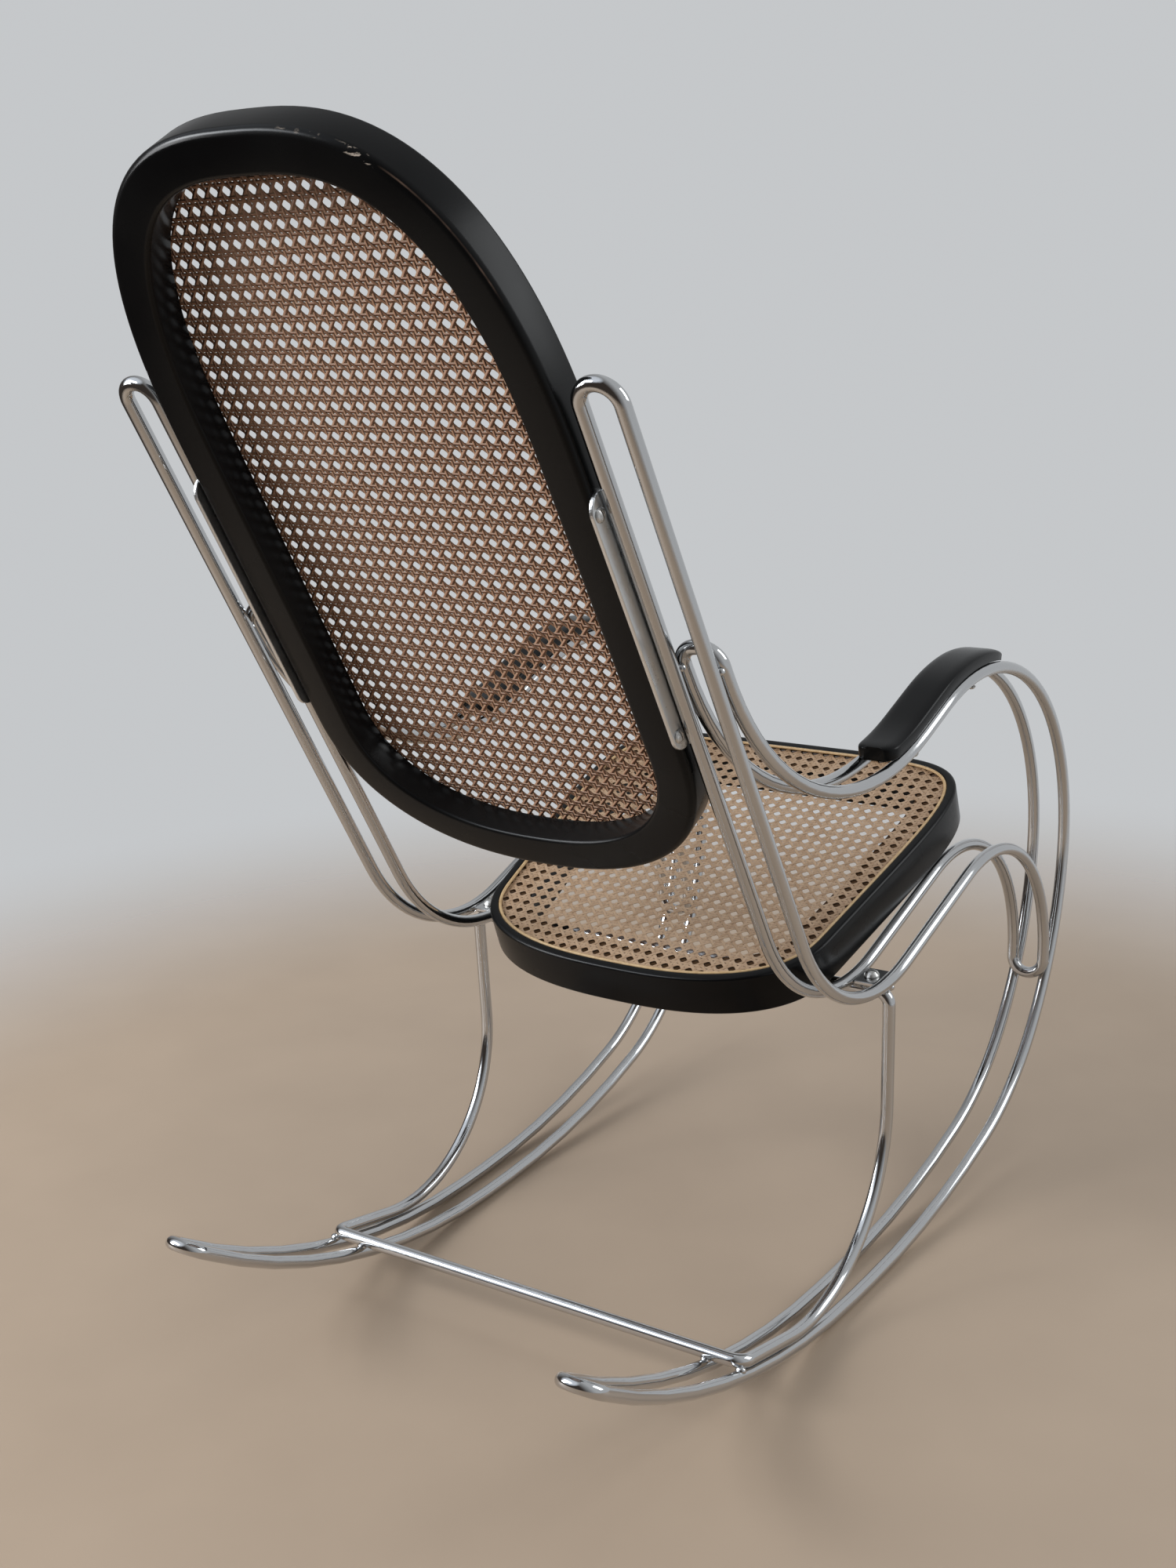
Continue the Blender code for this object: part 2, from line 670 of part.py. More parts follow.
def add_armrests():
    guide = add_guide("armrest_section", poly_curve("armrest_section", [pad_section()]))
    shares, path = armrest_path()
    arm = ROCKER_PROFILE[-1:] + ARM_PROFILE
    start = ARMREST_SETBACK
    screw_places = {
        "front": start + ARMREST_SCREW_INSET,
        "rear": start + ARMREST_LENGTH - ARMREST_SCREW_INSET,
    }
    size = (SCREW_HEAD_DIAMETER, SCREW_HEAD_HEIGHT)
    for name, side in SIDES.items():
        curve = bpy.data.curves.new(f"armrest_{name}", "CURVE")
        curve.dimensions = "3D"
        curve.twist_mode = "Z_UP"
        curve.bevel_mode = "OBJECT"
        curve.bevel_object = guide
        curve.use_fill_caps = True
        spline = curve.splines.new("POLY")
        spline.points.add(len(path) - 1)
        for target, point, share in zip(spline.points, path, shares):
            target.co = (*in_space(side, MIDDLE_HALF_WIDTH, point), 1.0)
            target.radius = share
        add_part(f"armrest_{name}", curve, BLACK_WOOD)
        for end, place in screw_places.items():
            point, way = middle_of_chord(arm, place)
            below = inward(way)
            centre = in_space(side, OUTER_RUN_HALF_WIDTH, point + below * (TUBE_RADIUS + CONTACT_GAP))
            add_head(f"armrest_screw_{name}_{end}", *size, centre, (0, *below))


def middle_of_chord(points, place):
    """The middle of the straight stretch of a path at a length along it, and its direction."""
    run = 0.0
    for start, end in zip(points, points[1:]):
        run += (end - start).length
        if place <= run:
            return (start + end) / 2, (end - start).normalized()
    raise ValueError("the path is shorter than that")


# Small turned and flat pieces
def add_turned(name, profile, material, matrix):
    """A solid of revolution about local Z; its profile runs from the top of the axis to its foot."""
    mesh = bpy.data.meshes.new(name)
    points = [(radius, 0.0, height) for radius, height in profile]
    mesh.from_pydata(points, [(index, index + 1) for index in range(len(points) - 1)], [])
    part = add_part(name, mesh, material, matrix)
    screw = part.modifiers.new("turn", "SCREW")
    screw.steps = TURNED_STEPS
    screw.render_steps = TURNED_STEPS
    screw.use_merge_vertices = True
    screw.merge_threshold = MERGE_DISTANCE
    return part


def add_head(name, diameter, height, centre, up):
    """A low domed screw head that stands on centre."""
    radius = diameter / 2
    profile = [
        (0, height),
        (radius * HEAD_CROWN_SHARE, height * HEAD_SHOULDER_SHARE),
        (radius, height * HEAD_RIM_SHARE),
        (radius, 0),
        (0, 0),
    ]
    return add_turned(name, profile, STEEL, frame_at(centre, up, BACK_UP))


def add_brackets():
    radius = BRACKET_WIDTH / 2
    run = BRACKET_LENGTH - BRACKET_WIDTH
    outline = []
    for end, first in ((run / 2, -math.pi / 2), (-run / 2, math.pi / 2)):
        for step in range(BRACKET_END_STEPS + 1):
            angle = first + math.pi * step / BRACKET_END_STEPS
            outline.append(Vector((end + radius * math.cos(angle), radius * math.sin(angle))))
    middle = BACK_ORIGIN - BACK_UP * BACK_SIDE_LENGTH / 2 - BACK_FRONT * BRACKET_REARWARD
    reach = BRACKET_LENGTH / 2 - BRACKET_SCREW_INSET
    screw_rearward = (TUBE_RADIUS + BRACKET_REARWARD + radius) / 2 - BRACKET_REARWARD
    for name, side in SIDES.items():
        centre = middle + ACROSS * side * (BRACKET_FACE - BRACKET_THICKNESS / 2)
        matrix = frame_at(centre, ACROSS * side, BACK_UP)
        add_plate(f"back_bracket_{name}", [outline], BRACKET_THICKNESS, CHROME, matrix)
        for end, way in (("upper", 1), ("lower", -1)):
            spot = middle + BACK_UP * way * reach - BACK_FRONT * screw_rearward
            spot = spot + ACROSS * side * (BRACKET_FACE + CONTACT_GAP)
            label = f"back_bracket_screw_{name}_{end}"
            add_head(label, SCREW_HEAD_DIAMETER, SCREW_HEAD_HEIGHT, spot, ACROSS * side)


def add_seat_fixings():
    """Lugs and bolts between the seat runs, and the spacers and screws of the upper crossbar."""
    under, way = point_where(BACK_SEAT_PROFILE[1:], 0, HOOP_TOP_Y)
    up = Vector((0, *inward(way)))
    half_length = LUG_LENGTH / 2
    half_width = RUN_SPACING / 2 - TUBE_RADIUS - CONTACT_GAP
    outline = [Vector((x * half_width, y * half_length)) for x, y in SQUARE]
    bar = Vector((0, *(under - inward(way) * TUBE_PITCH)))
    seat_foot = SEAT_ORIGIN + SEAT_UP * SEAT_BOTTOM
    start = TUBE_RADIUS + CONTACT_GAP
    height = (seat_foot - bar).dot(SEAT_UP) - CONTACT_GAP - start
    radius = SPACER_DIAMETER / 2
    for name, side in SIDES.items():
        centre = in_back_plane(side, MIDDLE_HALF_WIDTH, under)
        add_plate(f"seat_lug_{name}", [outline], LUG_THICKNESS, CHROME, frame_at(centre, up))
        top = centre + up * (LUG_THICKNESS / 2 + CONTACT_GAP)
        add_head(f"seat_bolt_{name}", BOLT_HEAD_DIAMETER, BOLT_HEAD_HEIGHT, top, up)
        spot = bar + ACROSS * side * (SEAT_HALF_WIDTH - SEAT_RIM_WIDTH / 2)
        profile = [(0, height), (radius, height), (radius, 0), (0, 0)]
        add_turned(f"seat_spacer_{name}", profile, RUBBER, frame_at(spot + SEAT_UP * start, SEAT_UP))
        below = spot - SEAT_UP * start
        add_head(f"seat_screw_{name}", SCREW_HEAD_DIAMETER, SCREW_HEAD_HEIGHT, below, -SEAT_UP)


def stand_on_floor():
    """Moves the chair so that its box stands on the floor, centred on the origin."""
    bpy.context.view_layer.update()
    graph = bpy.context.evaluated_depsgraph_get()
    low = Vector((math.inf, math.inf, math.inf))
    high = -low
    for part in CHAIR.objects:
        if part.type == "EMPTY":
            continue
        shape = part.evaluated_get(graph).to_mesh()
        for vertex in shape.vertices:
            point = part.matrix_world @ vertex.co
            low = Vector(map(min, low, point))
            high = Vector(map(max, high, point))
    ROOT.location = (0.0, -(low.y + high.y) / 2, -low.z)


add_tubes()
add_back()
add_seat()
add_armrests()
add_brackets()
add_seat_fixings()
stand_on_floor()
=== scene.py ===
# %% [markdown]
# # A rocking chair of bent tube, black wood and cane
# Each side of the chair is made of two endless chrome tubes, and one more, the hoop, joins the
# sides at the rear.  The back and the seat are black wooden rings with woven cane in them, and the
# arms carry black wooden rests.  The solids of the chair are loaded first.  The pieces below stand
# in for them, in the same places, with the smooth bends, the rounded edges and the weave that the
# plain solids lack.

# %% Load the solids
import math

import bmesh
import bpy
from mathutils import Matrix, Vector


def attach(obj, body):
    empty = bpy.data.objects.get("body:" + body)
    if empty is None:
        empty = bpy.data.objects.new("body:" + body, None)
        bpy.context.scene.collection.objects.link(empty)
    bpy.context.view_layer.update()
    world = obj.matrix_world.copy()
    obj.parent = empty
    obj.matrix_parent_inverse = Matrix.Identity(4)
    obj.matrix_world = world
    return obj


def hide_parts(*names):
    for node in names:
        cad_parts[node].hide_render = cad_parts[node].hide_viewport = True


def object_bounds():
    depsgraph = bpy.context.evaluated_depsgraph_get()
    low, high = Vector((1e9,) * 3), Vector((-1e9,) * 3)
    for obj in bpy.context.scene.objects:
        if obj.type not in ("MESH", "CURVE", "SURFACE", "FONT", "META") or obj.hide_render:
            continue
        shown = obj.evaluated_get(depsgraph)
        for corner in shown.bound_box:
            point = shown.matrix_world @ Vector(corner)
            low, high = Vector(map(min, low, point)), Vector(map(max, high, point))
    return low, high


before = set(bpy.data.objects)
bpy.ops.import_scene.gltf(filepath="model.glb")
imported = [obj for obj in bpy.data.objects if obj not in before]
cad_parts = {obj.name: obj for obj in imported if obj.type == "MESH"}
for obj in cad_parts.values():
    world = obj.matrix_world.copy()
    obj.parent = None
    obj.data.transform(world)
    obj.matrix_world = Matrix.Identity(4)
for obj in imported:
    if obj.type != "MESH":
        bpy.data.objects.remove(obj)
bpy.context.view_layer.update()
scene = bpy.context.scene
scene.view_settings.view_transform = "Standard"

# %% [markdown]
# ## Camera
# The chair is seen from behind its right side, from a little below the height of its top, with the
# camera rolled a little.  A camera could be aimed with a constraint, but the three axes of the view
# say the roll as well, so they are written down and put into the camera's matrix.

# %% Camera
CAMERA_PLACE = Vector((-0.91862, 1.41073, 0.93665))
VIEW_RIGHT = Vector((-0.82871, -0.55809, -0.04209))
VIEW_DOWN = Vector((-0.11637, 0.24539, -0.96241))
VIEW_AHEAD = Vector((0.54744, -0.79267, -0.26830))
SENSOR_WIDTH = 36.0
LENS = 43.2

camera = bpy.data.objects.new("camera", bpy.data.cameras.new("camera"))
camera.data.sensor_width = SENSOR_WIDTH
camera.data.lens = LENS
view_axes = Matrix((VIEW_RIGHT, -VIEW_DOWN, -VIEW_AHEAD)).transposed()
camera.matrix_world = Matrix.Translation(CAMERA_PLACE) @ view_axes.to_4x4()
scene.collection.objects.link(camera)
scene.camera = camera
print("camera at", tuple(CAMERA_PLACE))

# %% [markdown]
# ## Finishes
# A finish is a Principled shader with small node patterns on its colour, roughness and bump.  The
# patterns read Object coordinates or values that the mesh carries, so they stay on the piece.  One
# helper adds a node and sets its inputs, so that each finish below reads as a short list.

# %% New finishes and nodes
def new_finish(name, colour, roughness, metallic=0.0):
    material = bpy.data.materials.new(name)
    material.use_nodes = True
    shader = material.node_tree.nodes["Principled BSDF"]
    shader.inputs["Base Color"].default_value = (*colour, 1.0)
    shader.inputs["Roughness"].default_value = roughness
    shader.inputs["Metallic"].default_value = metallic
    return material, material.node_tree, shader


def add_node(tree, kind, links=(), **values):
    """A node with input values by name, and links as (input name, output socket) pairs."""
    node = tree.nodes.new(kind)
    for name, value in values.items():
        node.inputs[name.replace("_", " ")].default_value = value
    for name, output in links:
        tree.links.new(output, node.inputs[name])
    return node


# %% Patterns
def object_noise(tree, scale, detail=3.0, stretch=(1, 1, 1)):
    """Noise on Object coordinates; stretch multiplies its fineness along each axis."""
    place = tree.nodes.new("ShaderNodeTexCoord").outputs["Object"]
    mapping = add_node(tree, "ShaderNodeMapping", [("Vector", place)], Scale=stretch)
    links = [("Vector", mapping.outputs["Vector"])]
    return add_node(tree, "ShaderNodeTexNoise", links, Scale=scale, Detail=detail).outputs["Fac"]


def spread(tree, value, low=0.0, high=1.0, within=(0.3, 0.7)):
    """A value within two bounds spread over low to high."""
    start, end = within
    node = add_node(
        tree, "ShaderNodeMapRange", [("Value", value)],
        From_Min=start, From_Max=end, To_Min=low, To_Max=high,
    )
    return node.outputs["Result"]


def add_bump(tree, shader, height, distance, strength):
    bump = add_node(
        tree, "ShaderNodeBump", [("Height", height)], Strength=strength, Distance=distance
    )
    tree.links.new(bump.outputs["Normal"], shader.inputs["Normal"])


def mix_colours(tree, share, first, second):
    """A mix of two colours, each a colour or a socket, by a share from 0 to 1."""
    mix = tree.nodes.new("ShaderNodeMix")
    mix.data_type = "RGBA"
    tree.links.new(share, mix.inputs["Factor"])
    colour_inputs = [item for item in mix.inputs if item.type == "RGBA"]
    for target, colour in zip(colour_inputs, (first, second)):
        if isinstance(colour, tuple):
            target.default_value = (*colour, 1.0)
        else:
            tree.links.new(colour, target)
    return [item for item in mix.outputs if item.type == "RGBA"][0]


# %% [markdown]
# ### Chrome, steel and rubber
# The plating is a mirror with a faint haze: age leaves it a little duller in patches, so a broad
# noise moves its roughness.  The bending leaves the tube's surface very slightly wavy, which a
# shallow bump shows in reflections.  The flat strips at the back are plated satin.

# %% Chrome, screw steel and rubber
FINE_RELIEF = 0.0001


def plain_finish(
    name, colour, roughness, patch_scale, bump_scale, strength,
    metallic=1.0, detail=3.0, depth=FINE_RELIEF,
):
    """A finish of one colour; roughness is its lowest, middle and highest value."""
    lowest, middle, highest = roughness
    material, tree, shader = new_finish(name, colour, middle, metallic)
    patches = spread(tree, object_noise(tree, patch_scale), lowest, highest)
    tree.links.new(patches, shader.inputs["Roughness"])
    add_bump(tree, shader, object_noise(tree, bump_scale, detail), depth, strength)
    return material


chrome = plain_finish(
    "bright_chrome", (0.56, 0.565, 0.57), roughness=(0.06, 0.10, 0.15),
    patch_scale=14.0, bump_scale=18.0, strength=0.15, detail=0.0, depth=0.0010,
)
satin_chrome = plain_finish(
    "satin_chrome", (0.76, 0.775, 0.78), roughness=(0.26, 0.30, 0.36),
    patch_scale=60.0, bump_scale=500.0, strength=0.1,
)
screw_steel = plain_finish(
    "screw_steel", (0.60, 0.59, 0.57), roughness=(0.20, 0.30, 0.45),
    patch_scale=400.0, bump_scale=900.0, strength=0.4,
)
black_rubber = plain_finish(
    "black_rubber", (0.02, 0.02, 0.02), roughness=(0.50, 0.60, 0.75),
    patch_scale=300.0, bump_scale=700.0, strength=0.5, metallic=0.0,
)
print("plain finishes:", chrome.name, satin_chrome.name, screw_steel.name, black_rubber.name)

# %% [markdown]
# ### Black lacquer
# The wood is lacquered deep black, half gloss, with its grain as a faint relief.  Under the cane it
# is left raw, which an attribute named raw on the mesh tells the finish.  On the back the outer
# rear edge is worn: chipped to pale wood at the top, and rubbed to a thin brown line at the right
# shoulder.  The mesh carries an attribute named wear along that edge, the distance from a worn spot
# limits each kind of wear, and noise breaks it up.

# %% Worn places
CHIPPED_SPOT = (-0.088, 0.461, 1.016)
CHIPPED_REACH = 0.045
CHIPPED_EDGE = (0.25, 0.40)
RUBBED_SPOT = (-0.154, 0.431, 0.958)
RUBBED_REACH = 0.06
RUBBED_EDGE = (0.53, 0.585)
FULL_WEAR_SHARE = 0.7


def attribute(tree, name):
    node = tree.nodes.new("ShaderNodeAttribute")
    node.attribute_name = name
    return node.outputs["Fac"]


def vector_value(tree, operation, vector, other=(0, 0, 0)):
    """The number that an operation makes of a vector and a fixed one."""
    node = add_node(tree, "ShaderNodeVectorMath", [(0, vector)])
    node.operation = operation
    node.inputs[1].default_value = other
    return node.outputs["Value"]


def multiply(tree, first, second):
    product = add_node(tree, "ShaderNodeMath", [(0, first), (1, second)])
    product.operation = "MULTIPLY"
    return product.outputs[0]


def edge_share(tree, spot, reach, edge):
    """The worn edge near a spot; edge is the wear at which it begins and at which it is full."""
    place = tree.nodes.new("ShaderNodeTexCoord").outputs["Object"]
    away = vector_value(tree, "DISTANCE", place, spot)
    near = spread(tree, away, 1.0, 0.0, within=(reach * FULL_WEAR_SHARE, reach))
    return multiply(tree, near, spread(tree, attribute(tree, "wear"), within=edge))


def chip_share(tree):
    """Where the lacquer is chipped: in a few broken patches."""
    edge = edge_share(tree, CHIPPED_SPOT, CHIPPED_REACH, CHIPPED_EDGE)
    patches = spread(tree, object_noise(tree, 38.0, detail=2.0), within=(0.48, 0.58))
    streaks = object_noise(tree, 400.0, stretch=(0.25, 0.8, 1))
    flecks = spread(tree, streaks, within=(0.53, 0.60))
    return multiply(tree, edge, multiply(tree, patches, flecks))


def rub_share(tree):
    """Where the lacquer is rubbed through: a thin line along the edge, here and there fainter."""
    edge = edge_share(tree, RUBBED_SPOT, RUBBED_REACH, RUBBED_EDGE)
    fainter = spread(tree, object_noise(tree, 45.0), 0.25, 0.9, within=(0.40, 0.58))
    return multiply(tree, edge, fainter)


# %% Black lacquer
LACQUER = (0.003, 0.003, 0.0033)
RUBBED_LACQUER = (0.006, 0.006, 0.006)
RAW_WOOD = (0.085, 0.045, 0.022)
RUBBED_WOOD = (0.20, 0.13, 0.095)
BARE_WOOD = (0.55, 0.46, 0.38)
LACQUER_SPECULAR = 0.16
GRAIN_RELIEF = 0.0002


def lacquer_finish(name, worn):
    material, tree, shader = new_finish(name, LACQUER, roughness=0.26)
    shader.inputs["Specular IOR Level"].default_value = LACQUER_SPECULAR
    broad = object_noise(tree, 9.0)
    colour = mix_colours(tree, spread(tree, broad), LACQUER, RUBBED_LACQUER)
    colour = mix_colours(tree, attribute(tree, "raw"), colour, RAW_WOOD)
    if worn:
        colour = mix_colours(tree, rub_share(tree), colour, RUBBED_WOOD)
        colour = mix_colours(tree, chip_share(tree), colour, BARE_WOOD)
    tree.links.new(colour, shader.inputs["Base Color"])
    tree.links.new(spread(tree, broad, low=0.20, high=0.30), shader.inputs["Roughness"])
    grain = object_noise(tree, 120.0, detail=4.0, stretch=(1, 1, 3))
    add_bump(tree, shader, grain, GRAIN_RELIEF, strength=0.12)
    return material


back_lacquer = lacquer_finish("back_lacquer", worn=True)
plain_lacquer = lacquer_finish("plain_lacquer", worn=False)
print("lacquers:", back_lacquer.name, plain_lacquer.name)

# %% [markdown]
# ### Cane and reed
# Cane is the glossy bark of rattan, split into flat strands.  No two strands have the same tan, so
# each one takes its tint from Random Per Island, and a fine noise adds the flecks.  The rear of a
# strand is its duller pith side, painted darker and redder than the bark, as painted shade and
# painted light shining through the cane: the surface's own normal, set against the front of the
# panel, tells which side is seen.

# %% Cane and reed
CANE_PALE = (0.49, 0.335, 0.215)
CANE_DEEP = (0.38, 0.24, 0.14)
# The rear, pith side of a strand: its own duller colour, darkened and reddened as painted shade and
# painted light shining through the cane.
PITH_WITH_SHADE = (0.345, 0.168, 0.10)
REED = (0.60, 0.41, 0.21)
REED_PALE = (0.64, 0.45, 0.24)
REED_DEEP = (0.50, 0.32, 0.15)


def cane_finish(name, front):
    """A cane finish for a panel whose glossy side faces front."""
    material, tree, shader = new_finish(name, CANE_PALE, roughness=0.42)
    geometry = tree.nodes.new("ShaderNodeNewGeometry")
    tint = mix_colours(tree, geometry.outputs["Random Per Island"], CANE_PALE, CANE_DEEP)
    fine = object_noise(tree, 260.0, detail=4.0)
    flecks = spread(tree, fine, 0.0, 0.55, within=(0.50, 0.75))
    bark = mix_colours(tree, flecks, tint, CANE_DEEP)
    facing = vector_value(tree, "DOT_PRODUCT", geometry.outputs["Normal"], front)
    # The rear side gets the pith colour, with its painted shade and painted glow through the cane.
    pith_and_shade = spread(tree, facing, 1.0, 0.0, within=(-0.6, -0.1))
    tree.links.new(mix_colours(tree, pith_and_shade, bark, PITH_WITH_SHADE), shader.inputs["Base Color"])
    patches = spread(tree, object_noise(tree, 200.0), low=0.34, high=0.55)
    tree.links.new(patches, shader.inputs["Roughness"])
    add_bump(tree, shader, object_noise(tree, 1500.0, detail=2.0), FINE_RELIEF, strength=0.3)
    return material


reed, tree, shader = new_finish("pale_reed", REED, roughness=0.45)
streaks = spread(tree, object_noise(tree, 240.0, detail=4.0))
tree.links.new(mix_colours(tree, streaks, REED_PALE, REED_DEEP), shader.inputs["Base Color"])
add_bump(tree, shader, object_noise(tree, 900.0), FINE_RELIEF, strength=0.4)
print("reed finish:", reed.name)

# %% [markdown]
# ## How a piece is handed over
# A finished mesh becomes an object at the origin.  It rides on the chair's one body, and the
# solids that it stands in for are hidden.

# %% Hand over a piece
def hand_over(name, shape, finish, slot, *nodes):
    mesh = shape
    if isinstance(shape, bmesh.types.BMesh):
        mesh = bpy.data.meshes.new(name)
        shape.to_mesh(mesh)
        shape.free()
    mesh.materials.clear()
    mesh.materials.append(finish)
    piece = bpy.data.objects.new(name, mesh)
    scene.collection.objects.link(piece)
    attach(piece, "root")
    if nodes:
        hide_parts(*nodes)
    mesh.calc_loop_triangles()
    print(name, "triangles:", len(mesh.loop_triangles))


# %% [markdown]
# ## The tube bender
# A workshop makes these tubes from a bending list: so far straight, then so many degrees round a
# former.  The same list works in Blender.  A ring of edges is the end of the tube,
# extrude_edge_only pushes it along a straight run, and spin turns it round a bend's centre.  A
# curve with a round bevel could do it too, but here each step of the list is one operator, and the
# tube keeps its true section through every bend.

# %% Tube bender
TUBE_RADIUS = 0.006
TUBE_SIDES = 20
BEND_STEP = math.radians(4.0)
SIDEWAYS = Vector((1, 0, 0))


def of_kind(items, kind):
    return [item for item in items if isinstance(item, kind)]


def extrude_loop(shape, edges):
    """The vertices and the edges of a new loop, extruded from a loop of edges."""
    made = bmesh.ops.extrude_edge_only(shape, edges=edges)["geom"]
    verts = of_kind(made, bmesh.types.BMVert)
    fresh = set(verts)
    new_edges = of_kind(made, bmesh.types.BMEdge)
    return verts, [edge for edge in new_edges if fresh.issuperset(edge.verts)]


def start_tube(place, heading):
    shape = bmesh.new()
    turn = heading.to_track_quat("Z", "Y").to_matrix().to_4x4()
    bmesh.ops.create_circle(
        shape, segments=TUBE_SIDES, radius=TUBE_RADIUS, matrix=Matrix.Translation(place) @ turn
    )
    return {"shape": shape, "end": shape.edges[:], "place": place, "heading": heading}


def run_tube(tube, length):
    verts, tube["end"] = extrude_loop(tube["shape"], tube["end"])
    step = tube["heading"] * length
    bmesh.ops.translate(tube["shape"], verts=verts, vec=step)
    tube["place"] = tube["place"] + step


def bend_tube(tube, radius, angle, axis, step=BEND_STEP):
    """A bend to the side that axis x heading points to."""
    centre = tube["place"] + axis.cross(tube["heading"]) * radius
    ring = {vert for edge in tube["end"] for vert in edge.verts}
    made = bmesh.ops.spin(
        tube["shape"], geom=list(ring) + tube["end"], cent=centre, axis=axis, angle=angle,
        steps=math.ceil(angle / step),
    )["geom_last"]
    tube["end"] = of_kind(made, bmesh.types.BMEdge)
    turn = Matrix.Rotation(angle, 3, axis)
    tube["place"] = centre + turn @ (tube["place"] - centre)
    tube["heading"] = turn @ tube["heading"]


def follow(tube, bends):
    """Steps of a bending list: (None, length) is a straight run, and (radius, degrees) is a
    bend, upwards if positive."""
    for radius, amount in bends:
        if radius is None:
            run_tube(tube, amount)
        else:
            axis = SIDEWAYS * -math.copysign(1, amount)
            bend_tube(tube, radius, math.radians(abs(amount)), axis)


print("tube of", TUBE_RADIUS * 2000, "mm with", TUBE_SIDES, "sides")

# %% [markdown]
# ## Side loops
# Each loop goes out along its outer run, turns back in a hairpin, and comes home along the inner
# run by the same list read backwards.  A second hairpin closes it.  The sides toe out towards the
# front and lean out upwards by about a degree.  The loop is therefore bent in an upright plane
# first, and the whole of it is then sheared sideways, so that its two ends meet exactly.

# %% Bending lists
TAIL_RADIUS = 0.680
TAIL_SWEEP = 35.5
REST_LENGTH = 0.040
ROCKER_BENDS = [
    (TAIL_RADIUS, TAIL_SWEEP), (None, REST_LENGTH), (0.896, 16.6), (0.237, 36.1), (0.325, 33.7),
]
ARM_BENDS = [(0.2285, 114.9), (None, 0.04756), (0.276, -83.5), (None, 0.004)]
BACK_BENDS = [
    (None, 0.51896), (0.165, 80.3), (None, 0.14010), (0.155, -111.1), (None, 0.00056),
]
BACK_TOP = (0.35755, 0.84378)
BACK_TOP_HEADING = -62.2

tail_angle = math.radians(TAIL_SWEEP)
TAIL_TIP = (
    REST_LENGTH / 2 + TAIL_RADIUS * math.sin(tail_angle),
    TUBE_RADIUS + TAIL_RADIUS * (1 - math.cos(tail_angle)),
)
ROCKER_TUBE = (ROCKER_BENDS + ARM_BENDS, TAIL_TIP, -TAIL_SWEEP)
BACK_TUBE = (BACK_BENDS, BACK_TOP, BACK_TOP_HEADING)
print("tip of the rocker's tail:", [round(value, 4) for value in TAIL_TIP])

# %% Twin loops
RUN_SPACING = 0.0337
INNER_HALF_WIDTH = 0.193
OUTER_HALF_WIDTH = INNER_HALF_WIDTH + RUN_SPACING
TOE_OUT = math.tan(math.radians(1.13))
CENTRED = Matrix.Translation((0.0, 0.00094, -0.00025))
HAIRPIN_STEP = math.radians(9.0)
MERGE_DISTANCE = 0.0001


def ahead(degrees):
    """A heading in a side's plane, measured upwards from straight forward."""
    angle = math.radians(degrees)
    return Vector((0, -math.cos(angle), math.sin(angle)))


def shear(side, lean_out, offset=0.0):
    """The toe-out and lean-out of a side, with a sideways offset outwards."""
    matrix = Matrix.Identity(4)
    matrix[0][1] = -side * TOE_OUT
    matrix[0][2] = side * lean_out
    matrix[0][3] = side * offset
    return CENTRED @ matrix


def put(shape, place):
    bmesh.ops.transform(shape, matrix=place, verts=shape.verts)
    return shape


def smooth(shape):
    """Turns every face outwards and shades it smooth."""
    bmesh.ops.recalc_face_normals(shape, faces=shape.faces)
    for face in shape.faces:
        face.smooth = True
    return shape


def twin_loop(bends, start, degrees, side, lean):
    tube = start_tube(Vector((side * OUTER_HALF_WIDTH, *start)), ahead(degrees))
    homewards = [(radius, -amount if radius else amount) for radius, amount in reversed(bends)]
    for steps, way in ((bends, -side), (homewards, side)):
        follow(tube, steps)
        axis = tube["heading"].cross(SIDEWAYS * way)
        bend_tube(tube, RUN_SPACING / 2, math.pi, axis, HAIRPIN_STEP)
    shape = tube["shape"]
    bmesh.ops.remove_doubles(shape, verts=shape.verts, dist=MERGE_DISTANCE)
    return smooth(put(shape, lean))


# %% Rocker and arm loops, back and seat loops
SIDES = {"right": -1, "left": 1}
LEAN_OUT = math.tan(math.radians(1.15))
BACK_LEAN_OUT = math.tan(math.radians(0.80))
LOW_CORNER_HEIGHT = 0.2616

drawn_in = (LEAN_OUT - BACK_LEAN_OUT) * LOW_CORNER_HEIGHT
for name, side in SIDES.items():
    rocker = twin_loop(*ROCKER_TUBE, side, shear(side, LEAN_OUT))
    hand_over(f"rocker_tube_{name}", rocker, chrome, "chrome", f"rocker_arm_loop_{name}")
    back = twin_loop(*BACK_TUBE, side, shear(side, BACK_LEAN_OUT, drawn_in))
    hand_over(f"back_tube_{name}", back, chrome, "chrome", f"back_seat_loop_{name}")

# %% [markdown]
# ## Rear hoop
# One endless tube lies across both rockers, follows them forward, bows up and crosses again under
# the seat.  It is the same on both sides, so half of it is bent from the middle of the lower bar to
# the middle of the upper one.  The mirror operator then makes the other half and welds the two.

# %% Ways of the hoop
CONTACT_GAP = 0.0003
TUBE_PITCH = 2 * TUBE_RADIUS + CONTACT_GAP
HOOP_REAR_Y = 0.219
HOOP_TOE_Y = 0.130
HOOP_TOP = (-0.0480, 0.2857)


def on_rocker(y, lift=TUBE_PITCH):
    """A point above the centre line of the rocker's tail at y, in the plane of a side."""
    angle = math.asin((y - REST_LENGTH / 2) / TAIL_RADIUS)
    reach = TAIL_RADIUS - lift
    return Vector((
        REST_LENGTH / 2 + reach * math.sin(angle),
        TUBE_RADIUS + TAIL_RADIUS - reach * math.cos(angle),
    ))


def in_left_side(point):
    """A point of the side's plane, on the outer run of the left side."""
    return shear(1, LEAN_OUT) @ Vector((OUTER_HALF_WIDTH, *point))


